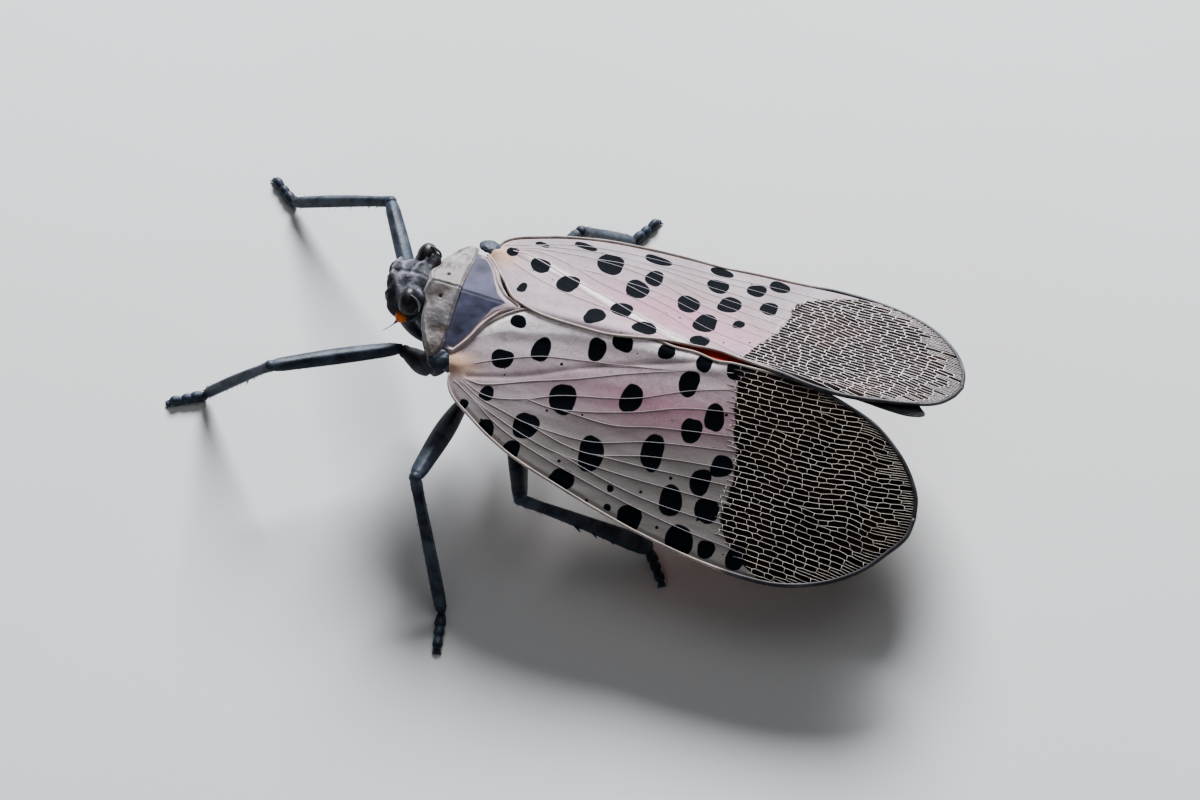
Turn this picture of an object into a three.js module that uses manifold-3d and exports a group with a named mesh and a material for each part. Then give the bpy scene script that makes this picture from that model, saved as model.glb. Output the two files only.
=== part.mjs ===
// Spotted lanternfly at life size, standing at rest with its wings folded like a roof.
// Millimetres. +Z is up, +X points to the tail, and the insect's left side is towards -Y.
// The body is drawn from the hind edge of the pronotum at x = 0, y = 0, with the floor at z = 0.
import * as THREE from 'three';
import * as BufferGeometryUtils from 'three/addons/utils/BufferGeometryUtils.js';
import Module from 'manifold-3d';

const wasm = await Module();
wasm.setup();

// Shift that brings the middle of the whole insect's footprint to the origin
const ORIGIN_X = 4.73;
const ORIGIN_Y = -0.33;

const LEFT = -1;
const RIGHT = 1;
const SIDES = { left: LEFT, right: RIGHT };

// Clear gap between neighbouring parts
const GAP = 0.3;

// The wing roof: height of its ridge along x, and how its slope grows sideways
const RIDGE_HEIGHT = [[0, 7.8], [2.7, 7.85], [6.5, 7.95], [12.3, 7.83], [22, 7.5]];
const ROOF_SLOPE_FRONT = THREE.MathUtils.degToRad(14);
const ROOF_SLOPE_BACK = THREE.MathUtils.degToRad(22.5);
const ROOF_SLOPE_LENGTH = 10;
const ROOF_BEND = THREE.MathUtils.degToRad(0.3);

// Forewing outline, unrolled: distance from the ridge along the length
const WING_HINGE = [0.35, 3.4];
const WING_ROOT_X = 0.95;
const WING_END_X = 21.45;
const WING_INNER = [
  [0.95, 2.55], [1.8, 1.5], [2.7, 0.6], [3.4, 0.38], [4.6, 0.36], [15.2, 0.36],
  [16.3, 0.4], [17.5, 0.6], [18.8, 1.1], [20, 1.95], [20.9, 3.05], [21.45, 4.2],
];
const WING_COSTAL = [
  [0.95, 4.5], [1.8, 5.2], [3.1, 6], [4.6, 6.7], [6.5, 7.3], [8.5, 7.85], [11, 8.4], [13.2, 8.75],
  [15, 8.9], [16.7, 8.8], [18.4, 8.25], [19.8, 7.4], [20.8, 6.3], [21.45, 5],
];
const WING_TURN = { left: 0, right: THREE.MathUtils.degToRad(-3.4) };
const WING_SEAM = 0.36;
const WING_THICKNESS = 0.5;

// Veins of the forewing, as shares of the width between the claval suture and the front edge
const WING_VEINS = [0.16, 0.3, 0.43, 0.55, 0.66, 0.76, 0.86];
const CLAVUS_WIDTH = 0.3;
const CLAVUS_LENGTH = 13.5;
const CLAVUS_END_WIDTH = 0.45;
const VEIN_HALF_WIDTH = 0.15;
const VEIN_CROWDING = 0.03;
const VEIN_HEIGHT = 0.14;
const CROSS_VEIN_HEIGHT = 0.1;
const NET_START_X = 13.4;
const PLAIN_ROW_STEP = 0.95;
const NET_ROW_STEP = 0.43;

// Hindwing, folded flat under the forewing
const HINDWING_ROOT_X = 3.0;
const HINDWING_END_X = 19.6;
const HINDWING_SEAM = 0.85;
const HINDWING_INNER = [[3, 0.85], [18, 0.85], [19.6, 1]];
const HINDWING_COSTAL = [[3, 2.4], [5, 3.6], [9, 4.9], [13, 5.4], [16, 5.0], [18.4, 3.6], [19.6, 2.0]];
const HINDWING_VEINS = [0.2, 0.4, 0.6, 0.8];
const HINDWING_ROW_STEP = 1.1;

// Eyes, antennae and beak
const EYE_CENTRE = [-1.8, 1.55, 7.9];
const EYE_RADII = [0.5, 0.5, 0.62];
const ANTENNA_CENTRE = [-2.32, 1.76, 7.08];
const ANTENNA_RADIUS = 0.26;
const BRISTLE_TIP = [-3.0, 2.35, 6.55];
const BRISTLE_ROOT_RADIUS = 0.13;
const BEAK_PATH = [[-2.3, 0, 4.8], [-1.85, 0, 4.25], [-1.0, 0, 3.95], [0.6, 0, 3.65], [2.9, 0, 3.3]];
const BEAK_RADII = [0.3, 0.27, 0.25, 0.22, 0.15];

// Head, thorax and abdomen: stations of [x, half width, top, bottom]
const HEAD_STATIONS = [
  [-3.02, 0.45, 7.3, 6.4], [-2.9, 0.8, 7.7, 5.9], [-2.6, 1.1, 8.1, 5.45],
  [-2.2, 1.25, 8.35, 5.35], [-1.8, 1.25, 8.4, 5.7], [-1.62, 1.2, 8.35, 6.15],
];
const THORAX_STATIONS = [
  [-1.15, 1.5, 6.9, 5.0], [-0.9, 2.0, 7.05, 4.8], [0, 2.5, 7.0, 4.65], [1.2, 2.65, 6.8, 4.35],
  [2.5, 2.45, 6.05, 4.15], [3.7, 2.05, 5.65, 4.1], [4.0, 1.85, 5.5, 4.3],
];
const ABDOMEN_START_X = 4.3;
const ABDOMEN_SEGMENT_LENGTHS = [1.3, 1.35, 1.35, 1.3, 1.2, 1.05, 0.9];
const ABDOMEN_HALF_WIDTH = [[4.3, 2.1], [5.5, 2.6], [8, 2.75], [10.5, 2.2], [12.2, 1.3], [12.75, 0.6]];
const ABDOMEN_TOP = [[4.3, 5.75], [6, 5.8], [9, 5.65], [11.5, 5.2], [12.75, 4.75]];
const ABDOMEN_BOTTOM = [[4.3, 3.9], [6, 3.3], [8, 3.15], [10.5, 3.4], [12.2, 3.9], [12.75, 4.2]];
const SEGMENT_STEP = 0.1;

// Pronotum and mesonotum seen from above: front and hind edges over the distance from the midline
const PRONOTUM_HALF_WIDTH = 3.1;
const PRONOTUM_FRONT = [[0, -1.33], [0.75, -1.42], [1.4, -1.05], [2.4, -0.75], [3.1, -0.45]];
const PRONOTUM_HIND = [[0, -0.02], [1.5, -0.02], [2.5, 0.02], [3.1, -0.02]];
const PRONOTUM_TOP = [[0, 8.2], [1, 8.1], [2, 7.8], [3.1, 7.3]];
const MESONOTUM_HALF_WIDTH = 2.55;
const MESONOTUM_FRONT_X = 0.28;
const MESONOTUM_HIND = [[0, 2.5], [0.35, 2.28], [1.2, 1.55], [2.55, 0.42]];
const MESONOTUM_TOP = [[0, 7.98], [1, 7.9], [2.55, 7.6]];
const MESONOTUM_FALL = 0.1;
const SHIELD_THICKNESS = 0.65;
const TEGULA_CENTRE = [0.22, 3.3, 7.15];
const TEGULA_RADII = [0.4, 0.42, 0.36];

// Legs: hip, knee, ankle and claw tip of each, with the coxa's root
const LEGS = {
  left_fore: {
    root: [-0.5, -1.5, 3.95], hip: [-2.2, -1.25, 4.5], knee: [-7.1, -4.3, 5.1],
    ankle: [-10.4, -3.2, 0.4], claw: [-12.1, -4.15, 0],
  },
  right_fore: {
    root: [-0.5, 1.5, 3.95], hip: [-2.2, 1.25, 4.5], knee: [-5.0, 6.5, 4.4],
    ankle: [-10.0, 8.2, 0.4], claw: [-11.5, 9.55, 0],
  },
  left_middle: {
    root: [1.25, -1.35, 3.6], hip: [1.0, -2.4, 3.3], knee: [0.5, -7.8, 4.7],
    ankle: [2.8, -11.2, 0.4], claw: [3.2, -13.3, 0],
  },
  right_middle: {
    root: [1.25, 1.35, 3.6], hip: [1.0, 2.4, 3.3], knee: [3.6, 7.0, 5.0],
    ankle: [5.1, 10.7, 0.4], claw: [6.0, 12.6, 0],
  },
  left_hind: {
    root: [3.2, -1.15, 3.4], hip: [3.3, -2.0, 2.85], knee: [5.0, -7.2, 4.2],
    ankle: [10.4, -5.3, 0.4], claw: [11.5, -7.0, 0],
  },
  right_hind: {
    root: [3.2, 1.15, 3.4], hip: [3.3, 2.0, 2.85], knee: [5.2, 6.9, 4.0],
    ankle: [10.5, 5.5, 0.4], claw: [11.7, 7.2, 0],
  },
};

// Radii along each leg segment: [share of the length, half width, half depth]
const COXA_PROFILE = [[0, 0.3, 0.3], [0.2, 0.42, 0.4], [0.75, 0.36, 0.34], [1, 0.2, 0.2]];
const FEMUR_PROFILES = {
  fore: [[0, 0.18, 0.18], [0.08, 0.28, 0.26], [0.45, 0.34, 0.3], [0.8, 0.32, 0.27], [0.95, 0.26, 0.24], [1, 0.14, 0.14]],
  middle: [[0, 0.18, 0.18], [0.08, 0.3, 0.28], [0.4, 0.42, 0.34], [0.8, 0.38, 0.3], [0.95, 0.28, 0.26], [1, 0.14, 0.14]],
  hind: [[0, 0.18, 0.18], [0.08, 0.3, 0.28], [0.45, 0.42, 0.34], [0.8, 0.36, 0.3], [0.95, 0.28, 0.26], [1, 0.14, 0.14]],
};
const TIBIA_PROFILES = {
  fore: [[0, 0.14, 0.14], [0.05, 0.26, 0.25], [0.5, 0.29, 0.25], [0.93, 0.28, 0.25], [1, 0.2, 0.18]],
  middle: [[0, 0.14, 0.14], [0.05, 0.26, 0.25], [0.5, 0.26, 0.25], [0.93, 0.27, 0.25], [1, 0.2, 0.18]],
  hind: [[0, 0.14, 0.14], [0.05, 0.27, 0.25], [0.5, 0.34, 0.28], [0.93, 0.45, 0.35], [1, 0.26, 0.22]],
};
const LEG_SIDES = 8;
const TARSUS_PROFILE = [
  [0, 0.13], [0.1, 0.21], [0.36, 0.25], [0.4, 0.16], [0.62, 0.23], [0.66, 0.15], [0.94, 0.22], [1, 0.12],
];
const CLAW_LENGTH = 0.34;
const CLAW_RADIUS = 0.1;
const CLAW_SPREAD = THREE.MathUtils.degToRad(28);
const CLAW_SIDES = 5;

// Spines of the hind tibia: along its outer edge, and a crown round its end
const SPINE_SHARES = [0.42, 0.55, 0.68, 0.8];
const SPINE_LENGTH = 0.5;
const SPINE_RADIUS = 0.12;
const SPINE_SIDES = 5;
const CROWN_SPINES = 5;
const CROWN_SHARE = 0.95;
const CROWN_LENGTH = 0.45;

const material = (color, roughness) => new THREE.MeshStandardMaterial({ color, roughness, metalness: 0 });
const MATERIALS = {
  head: material(0x2b2c30, 0.5),
  eye: material(0x0e0d0f, 0.15),
  antenna: material(0xd9691e, 0.45),
  shield: material(0x8d8680, 0.6),
  mesonotum: material(0x6c6872, 0.55),
  body: material(0x33323a, 0.6),
  abdomen: material(0xa8842f, 0.6),
  forewing: material(0xb39a97, 0.65),
  hindwing: material(0xa3302a, 0.6),
  leg: material(0x23272e, 0.5),
};

const group = new THREE.Group();
group.position.set(-ORIGIN_X, -ORIGIN_Y, 0);

// Smooth curve through [input, value] pairs, flat beyond its ends
function profile(pairs, input) {
  const last = pairs.length - 1;
  if (input <= pairs[0][0]) return pairs[0][1];
  if (input >= pairs[last][0]) return pairs[last][1];
  const index = pairs.findIndex((pair) => pair[0] > input) - 1;
  const slope = (i) => {
    const before = pairs[Math.max(i - 1, 0)];
    const after = pairs[Math.min(i + 1, last)];
    return (after[1] - before[1]) / (after[0] - before[0]);
  };
  const [startInput, startValue] = pairs[index];
  const [endInput, endValue] = pairs[index + 1];
  const span = endInput - startInput;
  const share = (input - startInput) / span;
  const square = share * share;
  const cube = square * share;
  return (2 * cube - 3 * square + 1) * startValue + (cube - 2 * square + share) * span * slope(index)
    + (3 * square - 2 * cube) * endValue + (cube - square) * span * slope(index + 1);
}

function addMesh(name, geometry, look) {
  geometry.computeVertexNormals();
  const mesh = new THREE.Mesh(geometry, look);
  mesh.name = name;
  group.add(mesh);
}

// Geometry from points and triangles, with its faces turned outwards
function closedGeometry(points, triangles) {
  let volume = 0;
  for (const [a, b, c] of triangles) {
    volume += points[a].dot(new THREE.Vector3().crossVectors(points[b], points[c]));
  }
  const order = volume < 0 ? triangles.map(([a, b, c]) => [a, c, b]) : triangles;
  const geometry = new THREE.BufferGeometry().setFromPoints(points);
  geometry.setIndex(order.flat());
  return geometry;
}

// Skin over a row of rings with equal numbers of points, closed by a fan at each end
function loft(rings) {
  const sides = rings[0].length;
  const points = rings.flat();
  const triangles = [];
  for (let ring = 0; ring < rings.length - 1; ring += 1) {
    for (let side = 0; side < sides; side += 1) {
      const next = (side + 1) % sides;
      const [a, b] = [ring * sides + side, ring * sides + next];
      triangles.push([a, b, b + sides], [a, b + sides, a + sides]);
    }
  }
  for (const [ring, flip] of [[0, true], [rings.length - 1, false]]) {
    const middle = rings[ring].reduce((sum, point) => sum.add(point), new THREE.Vector3());
    points.push(middle.divideScalar(sides));
    for (let side = 0; side < sides; side += 1) {
      const edge = [ring * sides + side, ring * sides + ((side + 1) % sides)];
      if (flip) edge.reverse();
      triangles.push([...edge, points.length - 1]);
    }
  }
  return closedGeometry(points, triangles);
}

// Sheet between two grids of points, split into triangles alike on both faces
function sheet(upper, lower) {
  const rows = upper.length;
  const columns = upper[0].length;
  const points = [...upper.flat(), ...lower.flat()];
  const under = rows * columns;
  const triangles = [];
  for (let row = 0; row < rows - 1; row += 1) {
    for (let column = 0; column < columns - 1; column += 1) {
      const a = row * columns + column;
      const [b, c, d] = [a + 1, a + columns + 1, a + columns];
      triangles.push([a, b, c], [a, c, d]);
      triangles.push([under + a, under + c, under + b], [under + a, under + d, under + c]);
    }
  }
  const rim = [];
  for (let column = 0; column < columns - 1; column += 1) rim.push(column);
  for (let row = 0; row < rows - 1; row += 1) rim.push(row * columns + columns - 1);
  for (let column = columns - 1; column > 0; column -= 1) rim.push((rows - 1) * columns + column);
  for (let row = rows - 1; row > 0; row -= 1) rim.push(row * columns);
  rim.forEach((a, index) => {
    const b = rim[(index + 1) % rim.length];
    triangles.push([a, under + a, under + b], [a, under + b, b]);
  });
  return closedGeometry(points, triangles);
}

function toSolid(geometry) {
  const bare = geometry.clone();
  bare.deleteAttribute('normal');
  bare.deleteAttribute('uv');
  const merged = BufferGeometryUtils.mergeVertices(bare, 1e-5);
  return new wasm.Manifold(new wasm.Mesh({
    numProp: 3,
    vertProperties: new Float32Array(merged.attributes.position.array),
    triVerts: new Uint32Array(merged.index.array),
  }));
}

// One closed body from several that overlap: only the largest surface is kept
function fuse(geometries) {
  const union = geometries.map(toSolid).reduce((whole, piece) => whole.add(piece));
  const largest = union.decompose().reduce((best, piece) => (piece.volume() > best.volume() ? piece : best));
  const { vertProperties, triVerts } = largest.getMesh();
  const geometry = new THREE.BufferGeometry();
  geometry.setAttribute('position', new THREE.BufferAttribute(new Float32Array(vertProperties), 3));
  geometry.setIndex(new THREE.BufferAttribute(new Uint32Array(triVerts), 1));
  return geometry;
}

// Two directions square to a line, the first of them level
function crossDirections(direction) {
  const level = new THREE.Vector3(-direction.y, direction.x, 0).normalize();
  return [level, new THREE.Vector3().crossVectors(direction, level).normalize()];
}

// Tapered limb between two points, cut short by trim at each end
function limb(start, end, shape, trimStart, trimEnd) {
  const from = new THREE.Vector3(...start);
  const to = new THREE.Vector3(...end);
  const direction = to.clone().sub(from).normalize();
  from.addScaledVector(direction, trimStart);
  to.addScaledVector(direction, -trimEnd);
  const [across, upright] = crossDirections(direction);
  const rings = shape.map(([share, halfWidth, halfDepth]) => {
    const centre = from.clone().lerp(to, share);
    return Array.from({ length: LEG_SIDES }, (_, side) => {
      const angle = ((side + 0.5) / LEG_SIDES) * 2 * Math.PI;
      return centre.clone()
        .addScaledVector(across, halfWidth * Math.cos(angle))
        .addScaledVector(upright, halfDepth * Math.sin(angle));
    });
  });
  return loft(rings);
}

// Pointed spine with a polygon root
function spine(root, direction, length, radius, sides) {
  const [across, upright] = crossDirections(direction);
  const ring = (distance, size) => Array.from({ length: sides }, (_, side) => {
    const angle = (side / sides) * 2 * Math.PI;
    return root.clone().addScaledVector(direction, distance)
      .addScaledVector(across, size * Math.cos(angle))
      .addScaledVector(upright, size * Math.sin(angle));
  });
  return loft([ring(0, radius), ring(length, radius * 0.2)]);
}

// Closed body from stations along x, each a rounded box of its half width, top and bottom
function trunk(stations, sides, roundness) {
  const curve = (value, power) => Math.sign(value) * Math.abs(value) ** power;
  const rings = stations.map(([x, halfWidth, top, bottom]) => Array.from({ length: sides }, (_, side) => {
    const angle = ((side + 0.5) / sides) * 2 * Math.PI;
    const y = halfWidth * curve(Math.cos(angle), roundness);
    const z = (top + bottom) / 2 + ((top - bottom) / 2) * curve(Math.sin(angle), roundness);
    return new THREE.Vector3(x, y, z);
  }));
  return loft(rings);
}

// Point of the wing roof, lifted square to it, from a place on the unrolled wing
function roofPoint(x, width, side, lift) {
  const share = THREE.MathUtils.clamp(x / ROOF_SLOPE_LENGTH, 0, 1);
  const start = THREE.MathUtils.lerp(ROOF_SLOPE_FRONT, ROOF_SLOPE_BACK, share);
  const end = start + ROOF_BEND * width;
  const y = (Math.sin(end) - Math.sin(start)) / ROOF_BEND + lift * Math.sin(end);
  const z = profile(RIDGE_HEIGHT, x) - (Math.cos(start) - Math.cos(end)) / ROOF_BEND + lift * Math.cos(end);
  return new THREE.Vector3(x, side * y, z);
}

// Rows of a wing from its root to its tip, closer together in the netted part and at the tip
function wingRows(start, end, plainStep, netStart, netStep) {
  const rows = [];
  const plainCount = Math.round((netStart - start) / plainStep);
  for (let row = 0; row < plainCount; row += 1) {
    rows.push({ x: start + ((netStart - start) * row) / plainCount, net: -1 });
  }
  const netCount = Math.round((end - netStart) / netStep);
  for (let row = 0; row <= netCount; row += 1) {
    rows.push({ x: netStart + ((end - netStart) * row) / netCount, net: row });
  }
  return rows;
}

// Lines of a forewing across one row: where each lies and how high it is raised
function forewingLines(row, width) {
  const flank = Math.min(VEIN_HALF_WIDTH / width, VEIN_CROWDING);
  const narrowing = CLAVUS_WIDTH * (1 - (row.x - WING_ROOT_X) / CLAVUS_LENGTH);
  const suture = Math.max(narrowing, Math.min(CLAVUS_END_WIDTH / width, CLAVUS_WIDTH));
  const veins = [suture, ...WING_VEINS.map((share) => suture + (1 - suture) * share)];
  const lines = [[0, 0], [suture / 2, VEIN_HEIGHT * Math.max(narrowing / CLAVUS_WIDTH, 0)]];
  veins.forEach((vein, band) => {
    const crossed = (offset) => (row.net + 2 * ((band + offset) % 2)) % 4 === 0;
    const inner = band > 0 && row.net > 0 && crossed(0) ? CROSS_VEIN_HEIGHT : 0;
    const outer = row.net > 0 && crossed(1) ? CROSS_VEIN_HEIGHT : 0;
    lines.push([vein - flank, inner], [vein, VEIN_HEIGHT], [vein + flank, outer]);
  });
  lines.push([1, VEIN_HEIGHT]);
  return lines;
}

function hindwingLines(row, width) {
  const flank = Math.min(VEIN_HALF_WIDTH / width, VEIN_CROWDING);
  const lines = [[0, 0]];
  for (const vein of HINDWING_VEINS) {
    lines.push([vein - flank, 0], [vein, VEIN_HEIGHT], [vein + flank, 0]);
  }
  lines.push([1, 0]);
  return lines;
}

// Wing sheet that follows the roof, with its veins raised in the upper surface
function wing(side, turn, rows, inner, costal, linesOf, depth, seam) {
  const grids = { upper: [], lower: [] };
  for (const row of rows) {
    const from = profile(inner, row.x);
    const to = profile(costal, row.x);
    const upperRow = [];
    const lowerRow = [];
    for (const [share, height] of linesOf(row, to - from)) {
      const along = row.x - WING_HINGE[0];
      const out = from + (to - from) * share - WING_HINGE[1];
      const x = WING_HINGE[0] + along * Math.cos(turn) - out * Math.sin(turn);
      const turned = WING_HINGE[1] + along * Math.sin(turn) + out * Math.cos(turn);
      const width = Math.max(turned, seam * (1 + share));
      upperRow.push(roofPoint(x, width, side, height - depth));
      lowerRow.push(roofPoint(x, width, side, -WING_THICKNESS - depth));
    }
    grids.upper.push(upperRow);
    grids.lower.push(lowerRow);
  }
  return sheet(grids.upper, grids.lower);
}

// Curved shield over the back, from its front and hind edges and the height of its top
function shield(halfWidth, front, hind, top, columns, rows) {
  const grids = { upper: [], lower: [] };
  for (let row = 0; row <= rows; row += 1) {
    const upperRow = [];
    const lowerRow = [];
    for (let column = 0; column <= columns; column += 1) {
      const y = halfWidth * (-1 + (2 * column) / columns);
      const x = THREE.MathUtils.lerp(front(Math.abs(y)), hind(Math.abs(y)), row / rows);
      const z = top(x, Math.abs(y));
      upperRow.push(new THREE.Vector3(x, y, z));
      lowerRow.push(new THREE.Vector3(x, y, z - SHIELD_THICKNESS));
    }
    grids.upper.push(upperRow);
    grids.lower.push(lowerRow);
  }
  return sheet(grids.upper, grids.lower);
}

// Dome on a flat base, bulging sideways
function dome(centre, radii, side, segments, steps) {
  const outline = [new THREE.Vector2(0, 0)];
  for (let step = 0; step <= steps; step += 1) {
    const angle = (step / steps) * (Math.PI / 2);
    outline.push(new THREE.Vector2(step === steps ? 0 : Math.cos(angle), Math.sin(angle)));
  }
  const geometry = new THREE.LatheGeometry(outline, segments);
  geometry.scale(radii[0], radii[1], radii[2]);
  if (side < 0) geometry.rotateX(Math.PI);
  return geometry.translate(centre[0], side * centre[1], centre[2]);
}

function makeHead() {
  addMesh('head', trunk(HEAD_STATIONS, 16, 0.72), MATERIALS.head);
  for (const [name, side] of Object.entries(SIDES)) {
    addMesh(`eye_${name}`, dome(EYE_CENTRE, EYE_RADII, side, 16, 5), MATERIALS.eye);
    const [x, y, z] = ANTENNA_CENTRE;
    const bulb = new THREE.SphereGeometry(ANTENNA_RADIUS, 12, 8).translate(x, side * y, z);
    const centre = new THREE.Vector3(x, side * y, z);
    const tip = new THREE.Vector3(BRISTLE_TIP[0], side * BRISTLE_TIP[1], BRISTLE_TIP[2]);
    const length = centre.distanceTo(tip);
    const bristle = spine(centre, tip.sub(centre).normalize(), length, BRISTLE_ROOT_RADIUS, 6);
    addMesh(`antenna_${name}`, fuse([bulb, bristle]), MATERIALS.antenna);
  }
  const beak = BEAK_PATH.map(([x, y, z], index) => {
    const before = BEAK_PATH[Math.max(index - 1, 0)];
    const after = BEAK_PATH[Math.min(index + 1, BEAK_PATH.length - 1)];
    const direction = new THREE.Vector3(...after).sub(new THREE.Vector3(...before)).normalize();
    const upright = new THREE.Vector3(-direction.z, 0, direction.x);
    return Array.from({ length: LEG_SIDES }, (_, side) => {
      const angle = (side / LEG_SIDES) * 2 * Math.PI;
      return new THREE.Vector3(x, y + BEAK_RADII[index] * Math.cos(angle), z)
        .addScaledVector(upright, BEAK_RADII[index] * Math.sin(angle));
    });
  });
  addMesh('beak', loft(beak), MATERIALS.head);
}

function makeTrunk() {
  const pronotum = shield(
    PRONOTUM_HALF_WIDTH,
    (y) => profile(PRONOTUM_FRONT, y),
    (y) => profile(PRONOTUM_HIND, y),
    (x, y) => profile(PRONOTUM_TOP, y),
    18,
    4,
  );
  addMesh('pronotum', pronotum, MATERIALS.shield);
  const mesonotum = shield(
    MESONOTUM_HALF_WIDTH,
    () => MESONOTUM_FRONT_X,
    (y) => profile(MESONOTUM_HIND, y),
    (x, y) => profile(MESONOTUM_TOP, y) - MESONOTUM_FALL * x,
    16,
    5,
  );
  addMesh('mesonotum', mesonotum, MATERIALS.mesonotum);
  addMesh('thorax', trunk(THORAX_STATIONS, 16, 0.92), MATERIALS.body);
  for (const [name, side] of Object.entries(SIDES)) {
    const ball = new THREE.SphereGeometry(1, 12, 8).scale(...TEGULA_RADII);
    ball.translate(TEGULA_CENTRE[0], side * TEGULA_CENTRE[1], TEGULA_CENTRE[2]);
    addMesh(`tegula_${name}`, ball, MATERIALS.leg);
  }
}

function makeAbdomen() {
  const stations = [];
  let x = ABDOMEN_START_X;
  const station = (at, shrink) => [
    at,
    profile(ABDOMEN_HALF_WIDTH, at) - shrink,
    profile(ABDOMEN_TOP, at) - shrink,
    profile(ABDOMEN_BOTTOM, at) + shrink,
  ];
  for (const length of ABDOMEN_SEGMENT_LENGTHS) {
    stations.push(station(x + 0.02, SEGMENT_STEP), station(x + 0.35 * length, 0), station(x + 0.92 * length, 0));
    x += length;
  }
  addMesh('abdomen', trunk(stations, 16, 0.95), MATERIALS.abdomen);
}

function makeWings() {
  const foreRows = wingRows(WING_ROOT_X, WING_END_X, PLAIN_ROW_STEP, NET_START_X, NET_ROW_STEP);
  const hindRows = wingRows(HINDWING_ROOT_X, HINDWING_END_X, HINDWING_ROW_STEP, HINDWING_END_X - 1, 0.5);
  for (const [name, side] of Object.entries(SIDES)) {
    const turn = WING_TURN[name];
    const forewing = wing(side, turn, foreRows, WING_INNER, WING_COSTAL, forewingLines, 0, WING_SEAM);
    addMesh(`forewing_${name}`, forewing, MATERIALS.forewing);
    const hindwing = wing(
      side,
      turn,
      hindRows,
      HINDWING_INNER,
      HINDWING_COSTAL,
      hindwingLines,
      WING_THICKNESS + GAP + VEIN_HEIGHT,
      HINDWING_SEAM,
    );
    addMesh(`hindwing_${name}`, hindwing, MATERIALS.hindwing);
  }
}

// Foot of three short joints that lies flat on the floor, with two claws
function makeTarsus(ankle, claw) {
  const from = new THREE.Vector3(ankle[0], ankle[1], 0);
  const to = new THREE.Vector3(claw[0], claw[1], 0);
  const direction = to.clone().sub(from).normalize();
  from.addScaledVector(direction, GAP / 2);
  to.addScaledVector(direction, -CLAW_LENGTH);
  const [across] = crossDirections(direction);
  const rings = TARSUS_PROFILE.map(([share, radius]) => {
    const centre = from.clone().lerp(to, share);
    centre.z = radius * Math.cos(Math.PI / LEG_SIDES);
    return Array.from({ length: LEG_SIDES }, (_, side) => {
      const angle = ((side + 0.5) / LEG_SIDES) * 2 * Math.PI;
      const point = centre.clone().addScaledVector(across, radius * Math.cos(angle));
      point.z += radius * Math.sin(angle);
      return point;
    });
  });
  const pieces = [loft(rings)];
  for (const turn of [-CLAW_SPREAD, CLAW_SPREAD]) {
    const heading = direction.clone().applyAxisAngle(new THREE.Vector3(0, 0, 1), turn);
    const root = to.clone().addScaledVector(direction, -CLAW_RADIUS);
    root.z = CLAW_RADIUS;
    pieces.push(spine(root, heading, CLAW_LENGTH, CLAW_RADIUS, CLAW_SIDES));
  }
  return fuse(pieces);
}

// Hind tibia with spines along its outer edge and a crown of them at its end
function makeSpinyTibia(start, end, shape, outward) {
  const from = new THREE.Vector3(...start);
  const to = new THREE.Vector3(...end);
  const direction = to.clone().sub(from).normalize();
  const out = outward.clone().addScaledVector(direction, -outward.dot(direction)).normalize();
  const pieces = [limb(start, end, shape, GAP / 2, GAP)];
  for (const share of SPINE_SHARES) {
    const root = from.clone().lerp(to, share);
    const heading = out.clone().addScaledVector(direction, 0.7).normalize();
    pieces.push(spine(root, heading, SPINE_LENGTH + SPINE_RADIUS, SPINE_RADIUS, SPINE_SIDES));
  }
  for (let index = 0; index < CROWN_SPINES; index += 1) {
    const root = from.clone().lerp(to, CROWN_SHARE).addScaledVector(direction, -GAP);
    const angle = ((index - (CROWN_SPINES - 1) / 2) / CROWN_SPINES) * Math.PI;
    const heading = out.clone().applyAxisAngle(direction, angle).addScaledVector(direction, 0.8).normalize();
    pieces.push(spine(root, heading, CROWN_LENGTH + SPINE_RADIUS, SPINE_RADIUS, SPINE_SIDES));
  }
  return fuse(pieces);
}

function makeLegs() {
  for (const [name, leg] of Object.entries(LEGS)) {
    const kind = name.split('_')[1];
    addMesh(`${name}_coxa`, limb(leg.root, leg.hip, COXA_PROFILE, 0, GAP), MATERIALS.leg);
    addMesh(`${name}_femur`, limb(leg.hip, leg.knee, FEMUR_PROFILES[kind], 0, GAP / 2), MATERIALS.leg);
    const outward = new THREE.Vector3(...leg.knee).sub(new THREE.Vector3(...leg.hip)).setZ(0);
    const tibia = kind === 'hind'
      ? makeSpinyTibia(leg.knee, leg.ankle, TIBIA_PROFILES[kind], outward)
      : limb(leg.knee, leg.ankle, TIBIA_PROFILES[kind], GAP / 2, GAP);
    addMesh(`${name}_tibia`, tibia, MATERIALS.leg);
    addMesh(`${name}_tarsus`, makeTarsus(leg.ankle, leg.claw), MATERIALS.leg);
  }
}

makeHead();
makeTrunk();
makeAbdomen();
makeWings();
makeLegs();

export default group;
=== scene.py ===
"""Spotted lanternfly at life size, at rest with its wings folded like a roof.

Shapes are drawn in millimetres, with x towards the tail, the insect's left side towards
-y and z up from the floor. The drawing starts at the hind edge of the pronotum.
"""
import math
import random

import bpy
import numpy as np
from mathutils import Matrix, Vector, noise


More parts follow.
